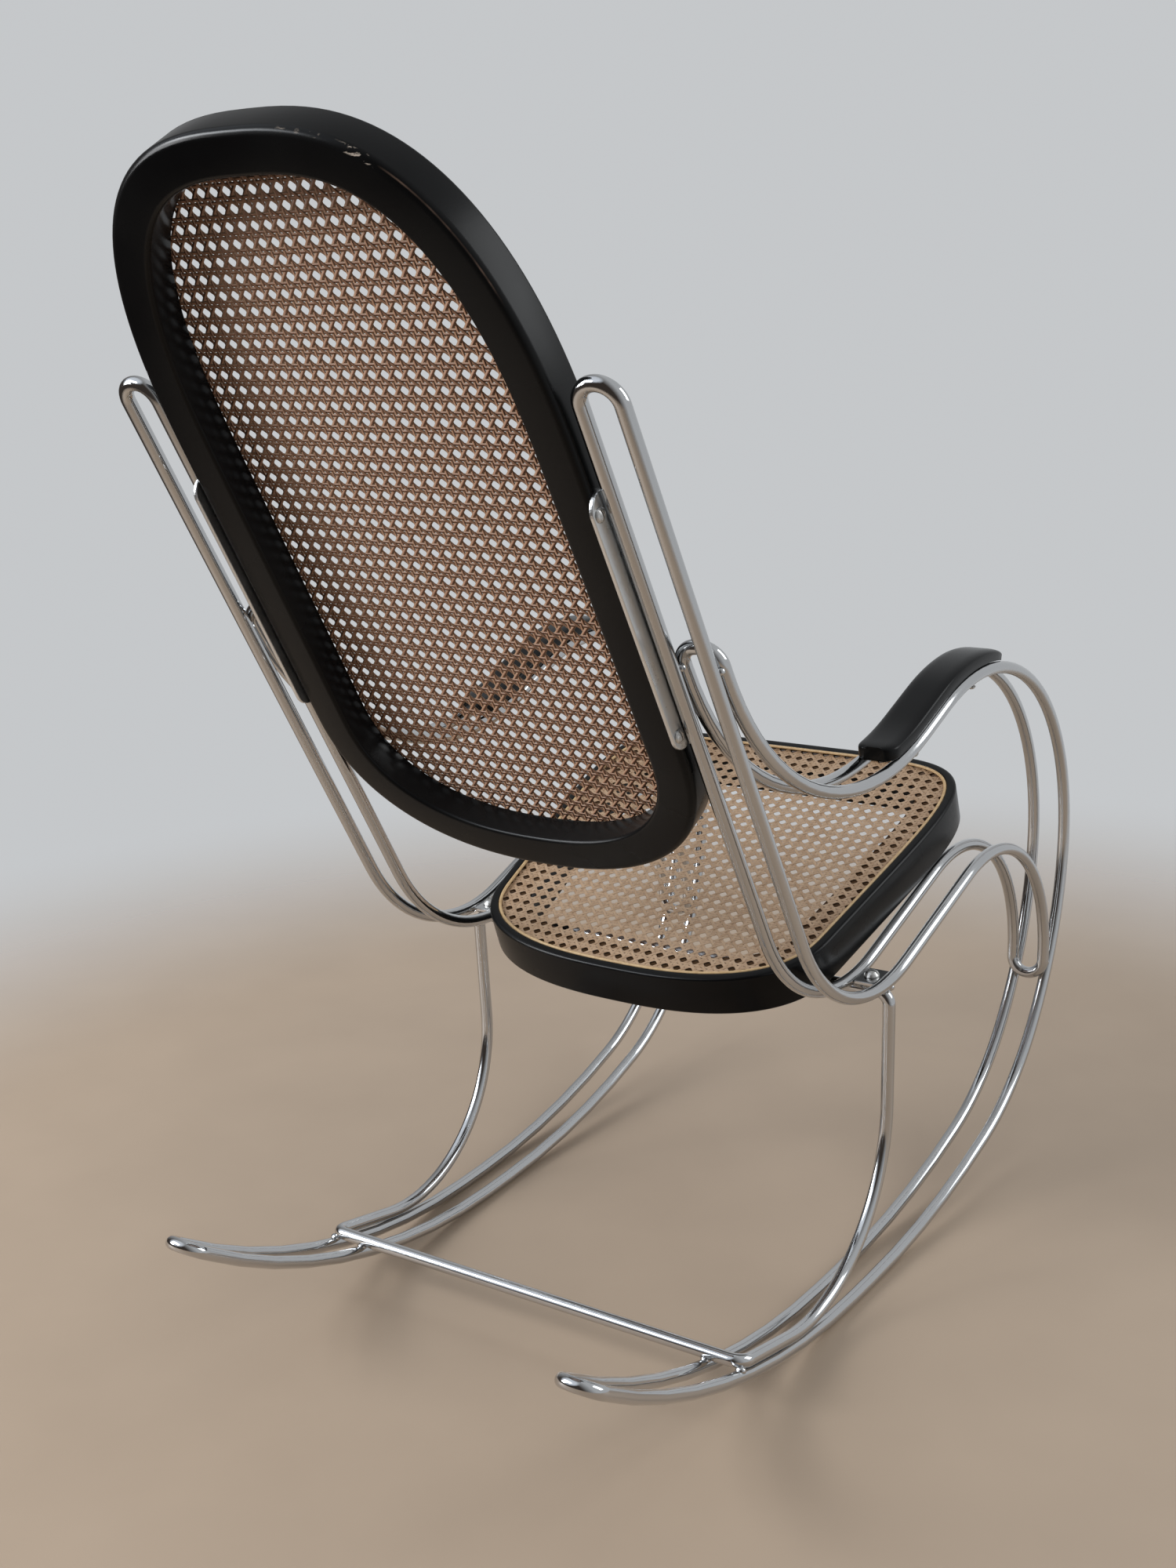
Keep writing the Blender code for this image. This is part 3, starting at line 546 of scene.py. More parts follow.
rear, toe = on_rocker(HOOP_REAR_Y), on_rocker(HOOP_TOE_Y)
rear_corner, top_corner = in_left_side(rear), in_left_side(HOOP_TOP)
foot_way = (in_left_side(toe) - rear_corner).normalized()
leg_way = Vector((LEAN_OUT, 0.0, 1.0)).normalized()
foot_end = rear_corner + foot_way * (rear_corner.y - top_corner.y) / -foot_way.y
print("lower bar at", [round(value, 4) for value in rear], "upper bar at", HOOP_TOP)

# %% Rear hoop
HOOP_CORNER_RADIUS = 0.012
HOOP_LEG_RADIUS = 0.150


def run_to_corner(tube, corner, heading, radius, step=HAIRPIN_STEP):
    """A straight run and a bend round a corner to a new heading."""
    angle = tube["heading"].angle(heading)
    setback = radius * math.tan(angle / 2)
    run_tube(tube, (corner - tube["place"]).dot(tube["heading"]) - setback)
    bend_tube(tube, radius, angle, tube["heading"].cross(heading).normalized(), step)


def all_of(shape):
    return shape.verts[:] + shape.edges[:] + shape.faces[:]


hoop = start_tube(Vector((0, *rear_corner.yz)), SIDEWAYS)
run_to_corner(hoop, rear_corner, foot_way, HOOP_CORNER_RADIUS)
run_to_corner(hoop, foot_end, leg_way, HOOP_LEG_RADIUS, BEND_STEP)
run_to_corner(hoop, top_corner, -SIDEWAYS, HOOP_CORNER_RADIUS)
run_tube(hoop, hoop["place"].x)
half = hoop["shape"]
bmesh.ops.mirror(
    half, geom=all_of(half), matrix=Matrix.Identity(4), merge_dist=MERGE_DISTANCE, axis="X"
)
hand_over("hoop_tube", smooth(half), chrome, "chrome", "rear_hoop")

# %% [markdown]
# ## Wooden rings
# The back and the seat are rings of bent wood with a rebate, a step cut in the face that takes the
# cane.  Such a ring is one section carried round an outline.  A circle of vertices becomes the
# outline, and each extrude_edge_only makes the next line of the section.  An integer layer on the
# vertices remembers which point of the outline each vertex belongs to, because extruded vertices
# copy it.  bridge_loops closes the section.

# %% Lofts
def loft(lines, shares=()):
    """A skin over lines of points, and its end edges; shares are (attribute, values) pairs."""
    shape = bmesh.new()
    spot = shape.verts.layers.int.new("spot")
    layers = [(shape.verts.layers.float.new(name), values) for name, values in shares]
    bmesh.ops.create_circle(shape, segments=len(lines[0]), radius=1.0)
    for index, vert in enumerate(shape.verts):
        vert[spot] = index
    first = edges = shape.edges[:]
    verts = shape.verts[:]
    for step, line in enumerate(lines):
        if step:
            verts, edges = extrude_loop(shape, edges)
        for vert in verts:
            vert.co = line[vert[spot]]
            for layer, values in layers:
                vert[layer] = values[step]
    return shape, first + edges


def inset(outline, distance):
    moved = []
    for index, point in enumerate(outline):
        along = outline[(index + 1) % len(outline)] - outline[index - 1]
        moved.append(point + Vector((-along.y, along.x)).normalized() * distance)
    return moved


def sweep_ring(outline, section, place, shares=()):
    """A closed ring; shares are names of attributes, each with a function of the section."""
    lines = []
    for inwards, height in section:
        lines.append([(*point, height) for point in inset(outline, inwards)])
    values = [(name, [share(*point) for point in section]) for name, share in shares]
    shape, ends = loft(lines, values)
    bmesh.ops.bridge_loops(shape, edges=ends)
    return smooth(put(shape, place))


# %% [markdown]
# ### The two outlines
# The back is a long oval: two superellipse caps with straight sides between them.  The seat's caps
# differ much in length, and it widens towards the front.  Both are drawn flat and then laid in
# their planes.  A cap below is given by its height and its power.

# %% Outlines of back and seat
CAP_STEPS = 72
CLEAN_DIGITS = 12
BACK_HALF_WIDTH = 0.18924
BACK_SIDE_LENGTH = 0.260
BACK_TOP_CAP = (0.268, 2.63)
BACK_FOOT_CAP = (0.147, 2.29)
SEAT_HALF_WIDTH = 0.18575
SEAT_TAPER = 0.60
SEAT_REAR_CAP = (0.0985, 2.57)
SEAT_FRONT_CAP = (0.303, 6.1)


def power_of(value, power):
    return math.copysign(abs(round(value, CLEAN_DIGITS)) ** power, value)


def cap(half_width, height, power, first):
    """Half of a superellipse, from a first angle on."""
    points = []
    for step in range(CAP_STEPS + 1):
        angle = first + math.pi * step / CAP_STEPS
        across = half_width * power_of(math.cos(angle), 2 / power)
        points.append(Vector((across, height * power_of(math.sin(angle), 2 / power))))
    return points


back_top = cap(BACK_HALF_WIDTH, *BACK_TOP_CAP, 0)
back_foot = cap(BACK_HALF_WIDTH, *BACK_FOOT_CAP, math.pi)
back_outline = back_top + [point - Vector((0, BACK_SIDE_LENGTH)) for point in back_foot]
seat_rear = cap(SEAT_HALF_WIDTH, *SEAT_REAR_CAP, 0)
seat_front = cap(SEAT_HALF_WIDTH, *SEAT_FRONT_CAP, math.pi)[1:-1]
seat_outline = [
    Vector((point.x * (1 - SEAT_TAPER * point.y), point.y)) for point in seat_rear + seat_front
]
print("outline points:", len(back_outline), len(seat_outline))

# %% Planes of back and seat
BACK_TURN = math.radians(27.8)
SEAT_TURN = math.radians(18.1)
BACK_FRONT = Vector((0, -math.cos(BACK_TURN), math.sin(BACK_TURN)))
SEAT_UP = Vector((0, math.sin(SEAT_TURN), math.cos(SEAT_TURN)))
BACK_ORIGIN = (0.0, 0.33276, 0.79677)
SEAT_ORIGIN = (0.0, -0.04398, 0.29251)


def laid(origin, up):
    """A plane's matrix: X stays sideways and Z becomes up."""
    turn = Matrix((SIDEWAYS, up.cross(SIDEWAYS), up)).transposed()
    return CENTRED @ Matrix.Translation(origin) @ turn.to_4x4()


back_place = laid(BACK_ORIGIN, BACK_FRONT)
seat_place = laid(SEAT_ORIGIN, SEAT_UP)

# %% [markdown]
# ### Sections of the rings
# A section is a list of corners with roundings.  Two attributes ride along on it: raw marks the
# floor of the rebate, and wear the middle of the back's outer rear edge.

# %% Back ring and seat ring
ROUND_STEPS = 6
REBATE_DEPTH = 0.0052
LIP_WIDTH = 0.009
LIP_ROUND = 0.0012
BACK_FACE = 0.021
BACK_REAR = -0.012
BACK_RIM = 0.034
BACK_REAR_ROUND = 0.0062
SEAT_FACE = 0.0473
SEAT_FOOT = 0.0063
SEAT_RIM = 0.040
TINY_LENGTH = 0.00001


def rounded_section(corners):
    """A section of (inwards, height) points from corners given as (inwards, height, radius)."""
    points = []
    for index, (across, up, radius) in enumerate(corners):
        corner = Vector((across, up))
        if radius == 0:
            points.append(corner)
            continue
        before = Vector(corners[index - 1][:2]) - corner
        after = Vector(corners[(index + 1) % len(corners)][:2]) - corner
        start, end = before.normalized() * radius, after.normalized() * radius
        for step in range(ROUND_STEPS + 1):
            angle = math.pi / 2 * step / ROUND_STEPS
            points.append(corner + start * (1 - math.sin(angle)) + end * (1 - math.cos(angle)))
    return points


def ring_section(rim, face, foot, face_round, foot_round, inner_round):
    floor = face - REBATE_DEPTH
    return rounded_section([
        (0.0, face, face_round), (LIP_WIDTH, face, LIP_ROUND), (LIP_WIDTH, floor, 0.0),
        (rim, floor, LIP_ROUND), (rim, foot, inner_round), (0.0, foot, foot_round),
    ])


def raw_floor(face):
    """A share that is 1 on the floor of a rebate and 0 elsewhere."""
    floor = face - REBATE_DEPTH
    return lambda inwards, height: 1.0 if abs(height - floor) < TINY_LENGTH else 0.0


def rear_edge_wear(inwards, height):
    """Wear on the outer rear edge: full in the middle of its rounding, none beyond it."""
    away = math.hypot(inwards, height - BACK_REAR)
    return max(0.0, 1.0 - away / BACK_REAR_ROUND)


back_section = ring_section(
    BACK_RIM, BACK_FACE, BACK_REAR,
    face_round=0.003, foot_round=BACK_REAR_ROUND, inner_round=0.004,
)
back_shares = (("wear", rear_edge_wear), ("raw", raw_floor(BACK_FACE)))
back_ring = sweep_ring(back_outline, back_section, back_place, back_shares)
hand_over("back_ring", back_ring, back_lacquer, "black_wood", "back_frame")
seat_section = ring_section(
    SEAT_RIM, SEAT_FACE, SEAT_FOOT, face_round=0.0035, foot_round=0.003, inner_round=0.003
)
seat_shares = (("raw", raw_floor(SEAT_FACE)),)
seat_ring = sweep_ring(seat_outline, seat_section, seat_place, seat_shares)
hand_over("seat_ring", seat_ring, plain_lacquer, "black_wood", "seat_frame")

# %% [markdown]
# ### Reeds
# A reed wedges the edge of the cane in each rebate.  It is the same sweep, with a round section.

# %% Reeds
REED_RADIUS = 0.0015
REED_PROUD = 0.0004
REED_SIDES = 10


def reed_section(face):
    centre = LIP_WIDTH + CONTACT_GAP + REED_RADIUS
    height = face + REED_PROUD - REED_RADIUS
    angles = [2 * math.pi * side / REED_SIDES for side in range(REED_SIDES)]
    return [
        (centre + REED_RADIUS * math.cos(angle), height + REED_RADIUS * math.sin(angle))
        for angle in angles
    ]


PANELS = {
    "back": (back_outline, back_place, BACK_FACE),
    "seat": (seat_outline, seat_place, SEAT_FACE),
}
for name, (outline, place, face) in PANELS.items():
    wedge = sweep_ring(outline, reed_section(face), place)
    hand_over(f"{name}_reed", wedge, reed, "reed", f"{name}_spline")

# %% [markdown]
# ## Woven cane
# The weave has six ways: a pair of strands upright, a pair across, and one strand on each diagonal.
# The pairs weave over and under each other.  Each diagonal passes over one kind of pair and under
# the other, midway between the crossings of the pairs, which leaves eight-sided holes.  Hundreds of
# strands are too many for one operator each, so they are splines of two curves with a flat domed
# section.  Each curve is made a mesh before it is laid in its plane.

# %% Curves of strands
STRAND_WIDTH = 0.0028
STRAND_THICKNESS = 0.00025
DOME = [(-0.5, 0.0), (-0.32, 0.75), (0.0, 1.0), (0.32, 0.75), (0.5, 0.0)]


def poly_spline(curve, points, cyclic=False, share=1.0):
    """A spline of straight pieces; share scales the section along it."""
    spline = curve.splines.new("POLY")
    spline.points.add(len(points) - 1)
    for target, point in zip(spline.points, points):
        target.co = (*point, 1.0)
        target.radius = share
    spline.use_cyclic_u = cyclic


dome_curve = bpy.data.curves.new("strand_section", "CURVE")
dome = [(across * STRAND_WIDTH, (up - 0.5) * STRAND_THICKNESS, 0.0) for across, up in DOME]
poly_spline(dome_curve, dome[::-1], True)
strand_section = bpy.data.objects.new("strand_section", dome_curve)
scene.collection.objects.link(strand_section)

# %% Strands across an outline
TINY = 1e-12


def chord(outline, origin, way):
    """The two lengths along a line at which it crosses an outline, or None."""
    hits = []
    for start, end in zip(outline, outline[1:] + outline[:1]):
        edge = end - start
        scale = way.x * edge.y - way.y * edge.x
        between = start - origin
        if abs(scale) > TINY and 0 <= (between.x * way.y - between.y * way.x) / scale < 1:
            hits.append((between.x * edge.y - between.y * edge.x) / scale)
    return (min(hits), max(hits)) if len(hits) > 1 else None


def strands_mesh(name, outline, strands):
    """Strands given by an origin, a way, a share of the section, and pairs of a length along the
    strand and its rise there."""
    curve = bpy.data.curves.new(name, "CURVE")
    curve.dimensions = "3D"
    curve.twist_mode = "Z_UP"
    curve.bevel_mode = "OBJECT"
    curve.bevel_object = strand_section
    curve.use_fill_caps = True
    for origin, way, share, heights in strands:
        ends = chord(outline, origin, way)
        if ends:
            low, high = ends
            inner = [pair for pair in heights if low < pair[0] < high]
            rises = [(low, 0.0)] + inner + [(high, 0.0)]
            points = [(*(origin + way * length), rise) for length, rise in rises]
            poly_spline(curve, points, share=share)
    holder = bpy.data.objects.new(name, curve)
    scene.collection.objects.link(holder)
    graph = bpy.context.evaluated_depsgraph_get()
    mesh = bpy.data.meshes.new_from_object(holder.evaluated_get(graph))
    bpy.data.objects.remove(holder)
    return mesh


# %% Straight and diagonal strands
PAIR_OFFSETS = (0.00134, 0.0016)
PAIR_SHARES = (0.92, 1.0)
PAIR_RISE = 0.00012
DIAGONAL_SHARE = 1.04
DIAGONAL_RISE = 0.00028


def reach_of(outline, pitch):
    """How many cells to each side of the middle an outline covers."""
    wide = max(abs(point.x) for point in outline)
    tall = max(abs(point.y) for point in outline)
    return math.ceil(wide / pitch.x) + 1, math.ceil(tall / pitch.y) + 1


def straight_strands(outline, pitch):
    """Pairs of strands, first upright, then across; one kind rises where the other dips."""
    counts = reach_of(outline, pitch)
    for axis, along, sign in ((0, 1, 1), (1, 0, -1)):
        way = Vector((0, 0))
        way[along] = 1
        for cell in range(-counts[axis], counts[axis]):
            for pair in (-1, 1):
                origin = Vector((0, 0))
                origin[axis] = (cell + 0.5) * pitch[axis] + pair * PAIR_OFFSETS[axis]
                heights = []
                for other in range(-counts[along], counts[along]):
                    heights.append((other * pitch[along], 0.0))
                    for crossed in (-1, 1):
                        length = (other + 0.5) * pitch[along] + crossed * PAIR_OFFSETS[along]
                        heights.append((length, sign * pair * crossed * PAIR_RISE))
                yield origin, way, PAIR_SHARES[axis], heights


def diagonal_strands(outline, pitch):
    columns, rows = reach_of(outline, pitch)
    halves = range(-2 * columns, 2 * columns + 1)
    for slope in (1, -1):
        way = Vector((pitch.x, slope * pitch.y))
        rise = slope * DIAGONAL_RISE
        heights = [(half / 2, rise if half % 2 else -rise) for half in halves]
        for cell in range(-columns - rows, columns + rows):
            yield Vector((0, (cell + 0.5) * pitch.y)), way, DIAGONAL_SHARE, heights


# %% Cane panels
PITCHES = {"back": Vector((0.01225, 0.0133)), "seat": Vector((0.0127, 0.0127))}
FRONTS = {"back": BACK_FRONT, "seat": SEAT_UP}
CANE_LIFT = 0.0013

for name, (outline, place, face) in PANELS.items():
    field = inset(outline, LIP_WIDTH + CONTACT_GAP)
    lift = Matrix.Translation((0, 0, face - REBATE_DEPTH + CANE_LIFT))
    finish = cane_finish(f"{name}_cane_bark", FRONTS[name])
    for kind, weave in (("pairs", straight_strands), ("diagonals", diagonal_strands)):
        piece = f"{name}_cane_{kind}"
        mesh = strands_mesh(piece, field, weave(field, PITCHES[name]))
        mesh.transform(place @ lift)
        hand_over(piece, mesh, finish, "cane", f"{name}_cane")
bpy.data.objects.remove(strand_section)

# %% [markdown]
# ## Armrests
# Each rest is a slim board that follows the arm over its arch, with soft upper edges, a blunt
# rounded rear end and a thinner front tip.  It is lofted like the rings: a rounded section is
# extruded line by line along the arm, and each line takes its place, its tilt and its share of the
# full size there.  Both ends are closed by one face and bevelled.

# %% Walk along a bending list
def step_length(radius, amount):
    return amount if radius is None else radius * math.radians(abs(amount))


def list_length(bends):
    return sum(step_length(*step) for step in bends)


def walk(bends, start, degrees, distance):
    """The point and the heading at a length along a bending list, in the plane of a side."""
    place = Vector((0.0, *start))
    left = distance
    for radius, amount in bends:
        part = min(left, step_length(radius, amount))
        if radius is None:
            place = place + ahead(degrees) * part
        else:
            sign = math.copysign(1, amount)
            middle = place + ahead(degrees + 90 * sign) * radius
            degrees += sign * math.degrees(part / radius)
            place = middle - ahead(degrees + 90 * sign) * radius
        left -= part
        if left <= 0:
            break
    return place, degrees


def along_arm(distance):
    """The point and the heading at a length from the arch's foot."""
    return walk(*ROCKER_TUBE, list_length(ROCKER_BENDS) + distance)


print("foot of the arch:", [round(value, 4) for value in along_arm(0.0)[0]])

# %% Size of an armrest along its length
REST_SPAN = 0.242
FRONT_TAPER = 0.060
REAR_TAPER = 0.013
FRONT_SHARE = (0.80, 0.55)
REAR_SHARE = (0.45, 0.90)


def eased(share, part):
    """A share that grows to 1, as a quarter of an ellipse, while part goes from 0 to 1."""
    return share + (1 - share) * math.sqrt(1 - (1 - part) ** 2)


def rest_shares(distance):
    """The share of the full width and thickness at a distance from the front tip."""
    at_front = min(1.0, distance / FRONT_TAPER)
    at_rear = min(1.0, (REST_SPAN - distance) / REAR_TAPER)
    ends = zip(FRONT_SHARE, REAR_SHARE)
    return [eased(front, at_front) * eased(rear, at_rear) for front, rear in ends]


# %% Armrests
REST_START = 0.330
REST_STEPS = 40
REST_HALF_WIDTH = 0.019
REST_THICKNESS = 0.0135
REST_BEVEL = 0.0012
REST_TOP_ROUND = 0.55
REST_FOOT_ROUND = 0.16
REST_SECTION = rounded_section([
    (-1.0, -1.0, REST_FOOT_ROUND), (1.0, -1.0, REST_FOOT_ROUND),
    (1.0, 1.0, REST_TOP_ROUND), (-1.0, 1.0, REST_TOP_ROUND),
])
MIDDLE_HALF_WIDTH = INNER_HALF_WIDTH + RUN_SPACING / 2


def bevel(shape, edges, width, segments=2):
    bmesh.ops.bevel(
        shape, geom=edges, offset=width, segments=segments, profile=0.5, affect="EDGES",
        material=-1,
    )
    return shape


def rest_line(side, distance):
    """The section of a rest at a distance from its front tip, as points."""
    place, degrees = along_arm(REST_START + distance)
    out = ahead(degrees - 90)
    width, thickness = rest_shares(distance)
    foot = place + SIDEWAYS * side * MIDDLE_HALF_WIDTH + out * (TUBE_RADIUS + CONTACT_GAP)
    line = []
    for across, up in REST_SECTION:
        rise = thickness * REST_THICKNESS * (up + 1) / 2
        line.append(foot + SIDEWAYS * across * width * REST_HALF_WIDTH + out * rise)
    return line


def loft_armrest(side):
    turns = [math.pi * step / REST_STEPS for step in range(REST_STEPS + 1)]
    distances = [REST_SPAN * (1 - math.cos(turn)) / 2 for turn in turns]
    shape, ends = loft([rest_line(side, distance) for distance in distances])
    caps = bmesh.ops.holes_fill(shape, edges=ends)["faces"]
    smooth(put(shape, shear(side, LEAN_OUT)))
    return bevel(shape, [edge for face in caps for edge in face.edges], REST_BEVEL)


for name, side in SIDES.items():
    board = loft_armrest(side)
    hand_over(f"arm_board_{name}", board, plain_lacquer, "black_wood", f"armrest_{name}")

# %% [markdown]
# ## Weld beads
# The tubes are welded where they touch: the lower bar on the rockers, the upper bar under the seat
# rails, the arms on the back tubes and the front drops on the risers.  A touch is found by walking
# along a tube for the point nearest to the other one.  Each bead is a small ball, drawn out
# sideways, that fills the crevice between two tubes.

# %% Weld beads
BEAD_RADIUS = 0.0038
BEAD_STRETCH = 1.35
BEAD_SUBDIVISIONS = 2
WALK_STEPS = 600


def end_of(tube):
    return walk(*tube, list_length(tube[0]))[0]


def touch(point, tube):
    """The middle between a point and the nearest one of a tube, in the plane of a side."""
    total = list_length(tube[0])
    lengths = [total * step / WALK_STEPS for step in range(WALK_STEPS + 1)]
    along = [walk(*tube, length)[0] for length in lengths]
    nearest = min(along, key=lambda place: (place - point).length)
    return (point + nearest) / 2


touches = [
    Vector((0, *on_rocker(HOOP_REAR_Y, TUBE_PITCH / 2))),
    touch(Vector((0, *HOOP_TOP)), BACK_TUBE),
    touch(end_of(ROCKER_TUBE), BACK_TUBE),
    touch(end_of(BACK_TUBE), ROCKER_TUBE),
]
beads = bmesh.new()
drawn_out = Matrix.Diagonal((BEAD_STRETCH, 1.0, 1.0, 1.0))
for side in SIDES.values():
    for half_width in (INNER_HALF_WIDTH, OUTER_HALF_WIDTH):
        for point in touches:
            place = shear(side, LEAN_OUT) @ (point + SIDEWAYS * side * half_width)
            bmesh.ops.create_icosphere(
                beads, subdivisions=BEAD_SUBDIVISIONS, radius=BEAD_RADIUS,
                matrix=Matrix.Translation(place) @ drawn_out,
            )
hand_over("weld_beads", smooth(beads), chrome, "chrome")

# %% [markdown]
# ## Strips, lugs and spacers
# A chrome strip with round ends joins each side of the back ring to the inner tube.  A circle whose
# two halves are pulled apart gives that outline, and an extrusion and a bevel make the strip.  The
# lugs are small bevelled plates between the twin runs at the low bend, and the spacers short rubber
# drums on the upper bar.

# %% Shapes of strips, lugs and spacers
STRIP_LENGTH = 0.233
STRIP_WIDTH = 0.028
STRIP_THICKNESS = 0.0036
STRIP_BEVEL = 0.0010
STRIP_SEGMENTS = 40
LUG_SIZE = (0.0211, 0.030, 0.003)
LUG_BEVEL = 0.0005
SPACER_RADIUS = 0.008
SPACER_HEIGHT = 0.0074
SPACER_BEVEL = 0.0006
SPACER_SEGMENTS = 28
SHARP_ANGLE = math.radians(40)


def soften(shape, width, segments=2):
    """Bevels every sharp edge of a shape."""
    sharp = [edge for edge in shape.edges if edge.calc_face_angle(0.0) > SHARP_ANGLE]
    return bevel(shape, sharp, width, segments)


def strip():
    shape = bmesh.new()
    half_step = Matrix.Rotation(math.pi / STRIP_SEGMENTS, 4, "Z")
    bmesh.ops.create_circle(
        shape, cap_ends=True, segments=STRIP_SEGMENTS, radius=STRIP_WIDTH / 2, matrix=half_step
    )
    apart = (STRIP_LENGTH - STRIP_WIDTH) / 2
    for vert in shape.verts:
        vert.co.x += math.copysign(apart, vert.co.x)
        vert.co.z = -STRIP_THICKNESS / 2
    made = bmesh.ops.extrude_face_region(shape, geom=shape.faces[:])["geom"]
    top = of_kind(made, bmesh.types.BMVert)
    bmesh.ops.translate(shape, verts=top, vec=(0, 0, STRIP_THICKNESS))
    bmesh.ops.recalc_face_normals(shape, faces=shape.faces)
    return soften(shape, STRIP_BEVEL, 3)


def lug():
    shape = bmesh.new()
    bmesh.ops.create_cube(shape, size=1.0, matrix=Matrix.Diagonal((*LUG_SIZE, 1.0)))
    return soften(shape, LUG_BEVEL)


def spacer():
    shape = bmesh.new()
    bmesh.ops.create_cone(
        shape, cap_ends=True, segments=SPACER_SEGMENTS, radius1=SPACER_RADIUS,
        radius2=SPACER_RADIUS, depth=SPACER_HEIGHT,
        matrix=Matrix.Translation((0, 0, SPACER_HEIGHT / 2)),
    )
    return soften(shape, SPACER_BEVEL)


# %% Strips, lugs and spacers
BACK_UP = Vector((0, math.sin(BACK_TURN), math.cos(BACK_TURN)))
LUG_UP = Vector((0, 0.08223, 0.99661))
STRIP_PLACE = (0.19048, 0.27573, 0.68013)
STRIP_REARWARD = 0.0015
LUG_PLACE = (0.21654, -0.04606, 0.29772)
SPACER_PLACE = (0.16575, -0.04512, 0.29145)


def on_side(side, place):
    """A place that is given for the left side, on either side."""
    return Vector((side * place[0], *place[1:]))


def frame_of(place, up, along):
    """A placement with Z along up and X as near as can be to along."""
    z_axis = up.normalized()
    x_axis = (along - z_axis * z_axis.dot(along)).normalized()
    turn = Matrix((x_axis, z_axis.cross(x_axis), z_axis)).transposed()
    return Matrix.Translation(place) @ turn.to_4x4()


for name, side in SIDES.items():
    middle = on_side(side, STRIP_PLACE) - BACK_FRONT * STRIP_REARWARD
    piece = put(strip(), frame_of(middle, SIDEWAYS * side, BACK_UP))
    hand_over(f"back_strip_{name}", piece, satin_chrome, "chrome", f"back_bracket_{name}")
    piece = put(lug(), frame_of(on_side(side, LUG_PLACE), LUG_UP, SIDEWAYS))
    hand_over(f"low_lug_{name}", piece, chrome, "chrome", f"seat_lug_{name}")
    piece = put(spacer(), frame_of(on_side(side, SPACER_PLACE), SEAT_UP, SIDEWAYS))
    hand_over(f"rubber_drum_{name}", piece, black_rubber, "spacer_black", f"seat_spacer_{name}")

# %% [markdown]
# ## Screws
# All screws show a domed head with a slot.  The dome is a short profile spun once round.  For the
# slot, bisect_plane cuts the dome along four close lines, and what lies between the inner two is
# pushed down, which leaves steep walls.

# %% Slotted heads
HEAD_SEGMENTS = 28
SLOT_HALF_WIDTH = 0.0006
SLOT_WALL = 0.00008
SLOT_DEPTH_SHARE = 0.55
DOME_PROFILE = (
    (0.0, 1.0), (0.3, 0.97), (0.6, 0.84), (0.85, 0.58), (1.0, 0.25), (1.0, 0.0), (0.0, 0.0),
)


def slotted_head(radius, height):
    shape = bmesh.new()
    profile = [shape.verts.new((across * radius, 0, up * height)) for across, up in DOME_PROFILE]
    edges = [shape.edges.new(pair) for pair in zip(profile, profile[1:])]
    bmesh.ops.spin(
        shape, geom=profile + edges, cent=(0, 0, 0), axis=(0, 0, 1), angle=2 * math.pi,
        steps=HEAD_SEGMENTS, use_merge=True,
    )
    bmesh.ops.remove_doubles(shape, verts=shape.verts, dist=TINY_LENGTH)
    bmesh.ops.recalc_face_normals(shape, faces=shape.faces)
    for sign in (-1, 1):
        for reach in (SLOT_HALF_WIDTH, SLOT_HALF_WIDTH - SLOT_WALL):
            bmesh.ops.bisect_plane(
                shape, geom=all_of(shape), plane_co=(0, sign * reach, 0), plane_no=(0, 1, 0)
            )
    floor = height * (1 - SLOT_DEPTH_SHARE)
    for vert in shape.verts:
        if abs(vert.co.y) < SLOT_HALF_WIDTH - SLOT_WALL / 2 and vert.co.z > floor:
            vert.co.z = floor
    return shape


# %% Screws
SCREW_SIZE = (0.004, 0.0025)
STRIP_SCREW_SIZE = (0.0057, 0.0027)
BOLT_SIZE = (0.007, 0.0055)
STRIP_SCREWS = {"upper": (0.19234, 0.32992, 0.76628), "lower": (0.19234, 0.23524, 0.58671)}
ARM_SCREWS = {
    "front": ((0.24159, -0.20690, 0.53725), Vector((0, -0.12079, -0.99268))),
    "rear": ((0.23848, -0.08675, 0.50065), Vector((0, -0.28671, -0.95802))),
}
BAR_SCREW = (0.16575, -0.04903, 0.27947)
LUG_BOLT = (0.21654, -0.04592, 0.29951)


def add_head(name, node, size, place, up, slot_way=SIDEWAYS):
    head = put(slotted_head(*size), frame_of(place, up, slot_way))
    hand_over(name, head, screw_steel, "screw_steel", node)


for name, side in SIDES.items():
    for end, place in STRIP_SCREWS.items():
        names = f"strip_screw_{name}_{end}", f"back_bracket_screw_{name}_{end}"
        add_head(*names, STRIP_SCREW_SIZE, on_side(side, place), SIDEWAYS * side, BACK_UP)
    for end, (place, up) in ARM_SCREWS.items():
        names = f"arm_screw_{name}_{end}", f"armrest_screw_{name}_{end}"
        add_head(*names, SCREW_SIZE, on_side(side, place), up)
    names = f"bar_screw_{name}", f"seat_screw_{name}"
    add_head(*names, SCREW_SIZE, on_side(side, BAR_SCREW), -SEAT_UP)
    names = f"lug_bolt_{name}", f"seat_bolt_{name}"
    add_head(*names, BOLT_SIZE, on_side(side, LUG_BOLT), LUG_UP)

# %% [markdown]
# ## Floor
# The floor is plain and pale, and it fades out round the chair into the colour of a pale wall.  The
# light that it throws back at the chair is darker and warmer: the Light Path node shows that second
# colour to diffuse rays alone.

# %% Floor
FLOOR_RADIUS = 1.7
FLOOR_SEGMENTS = 96

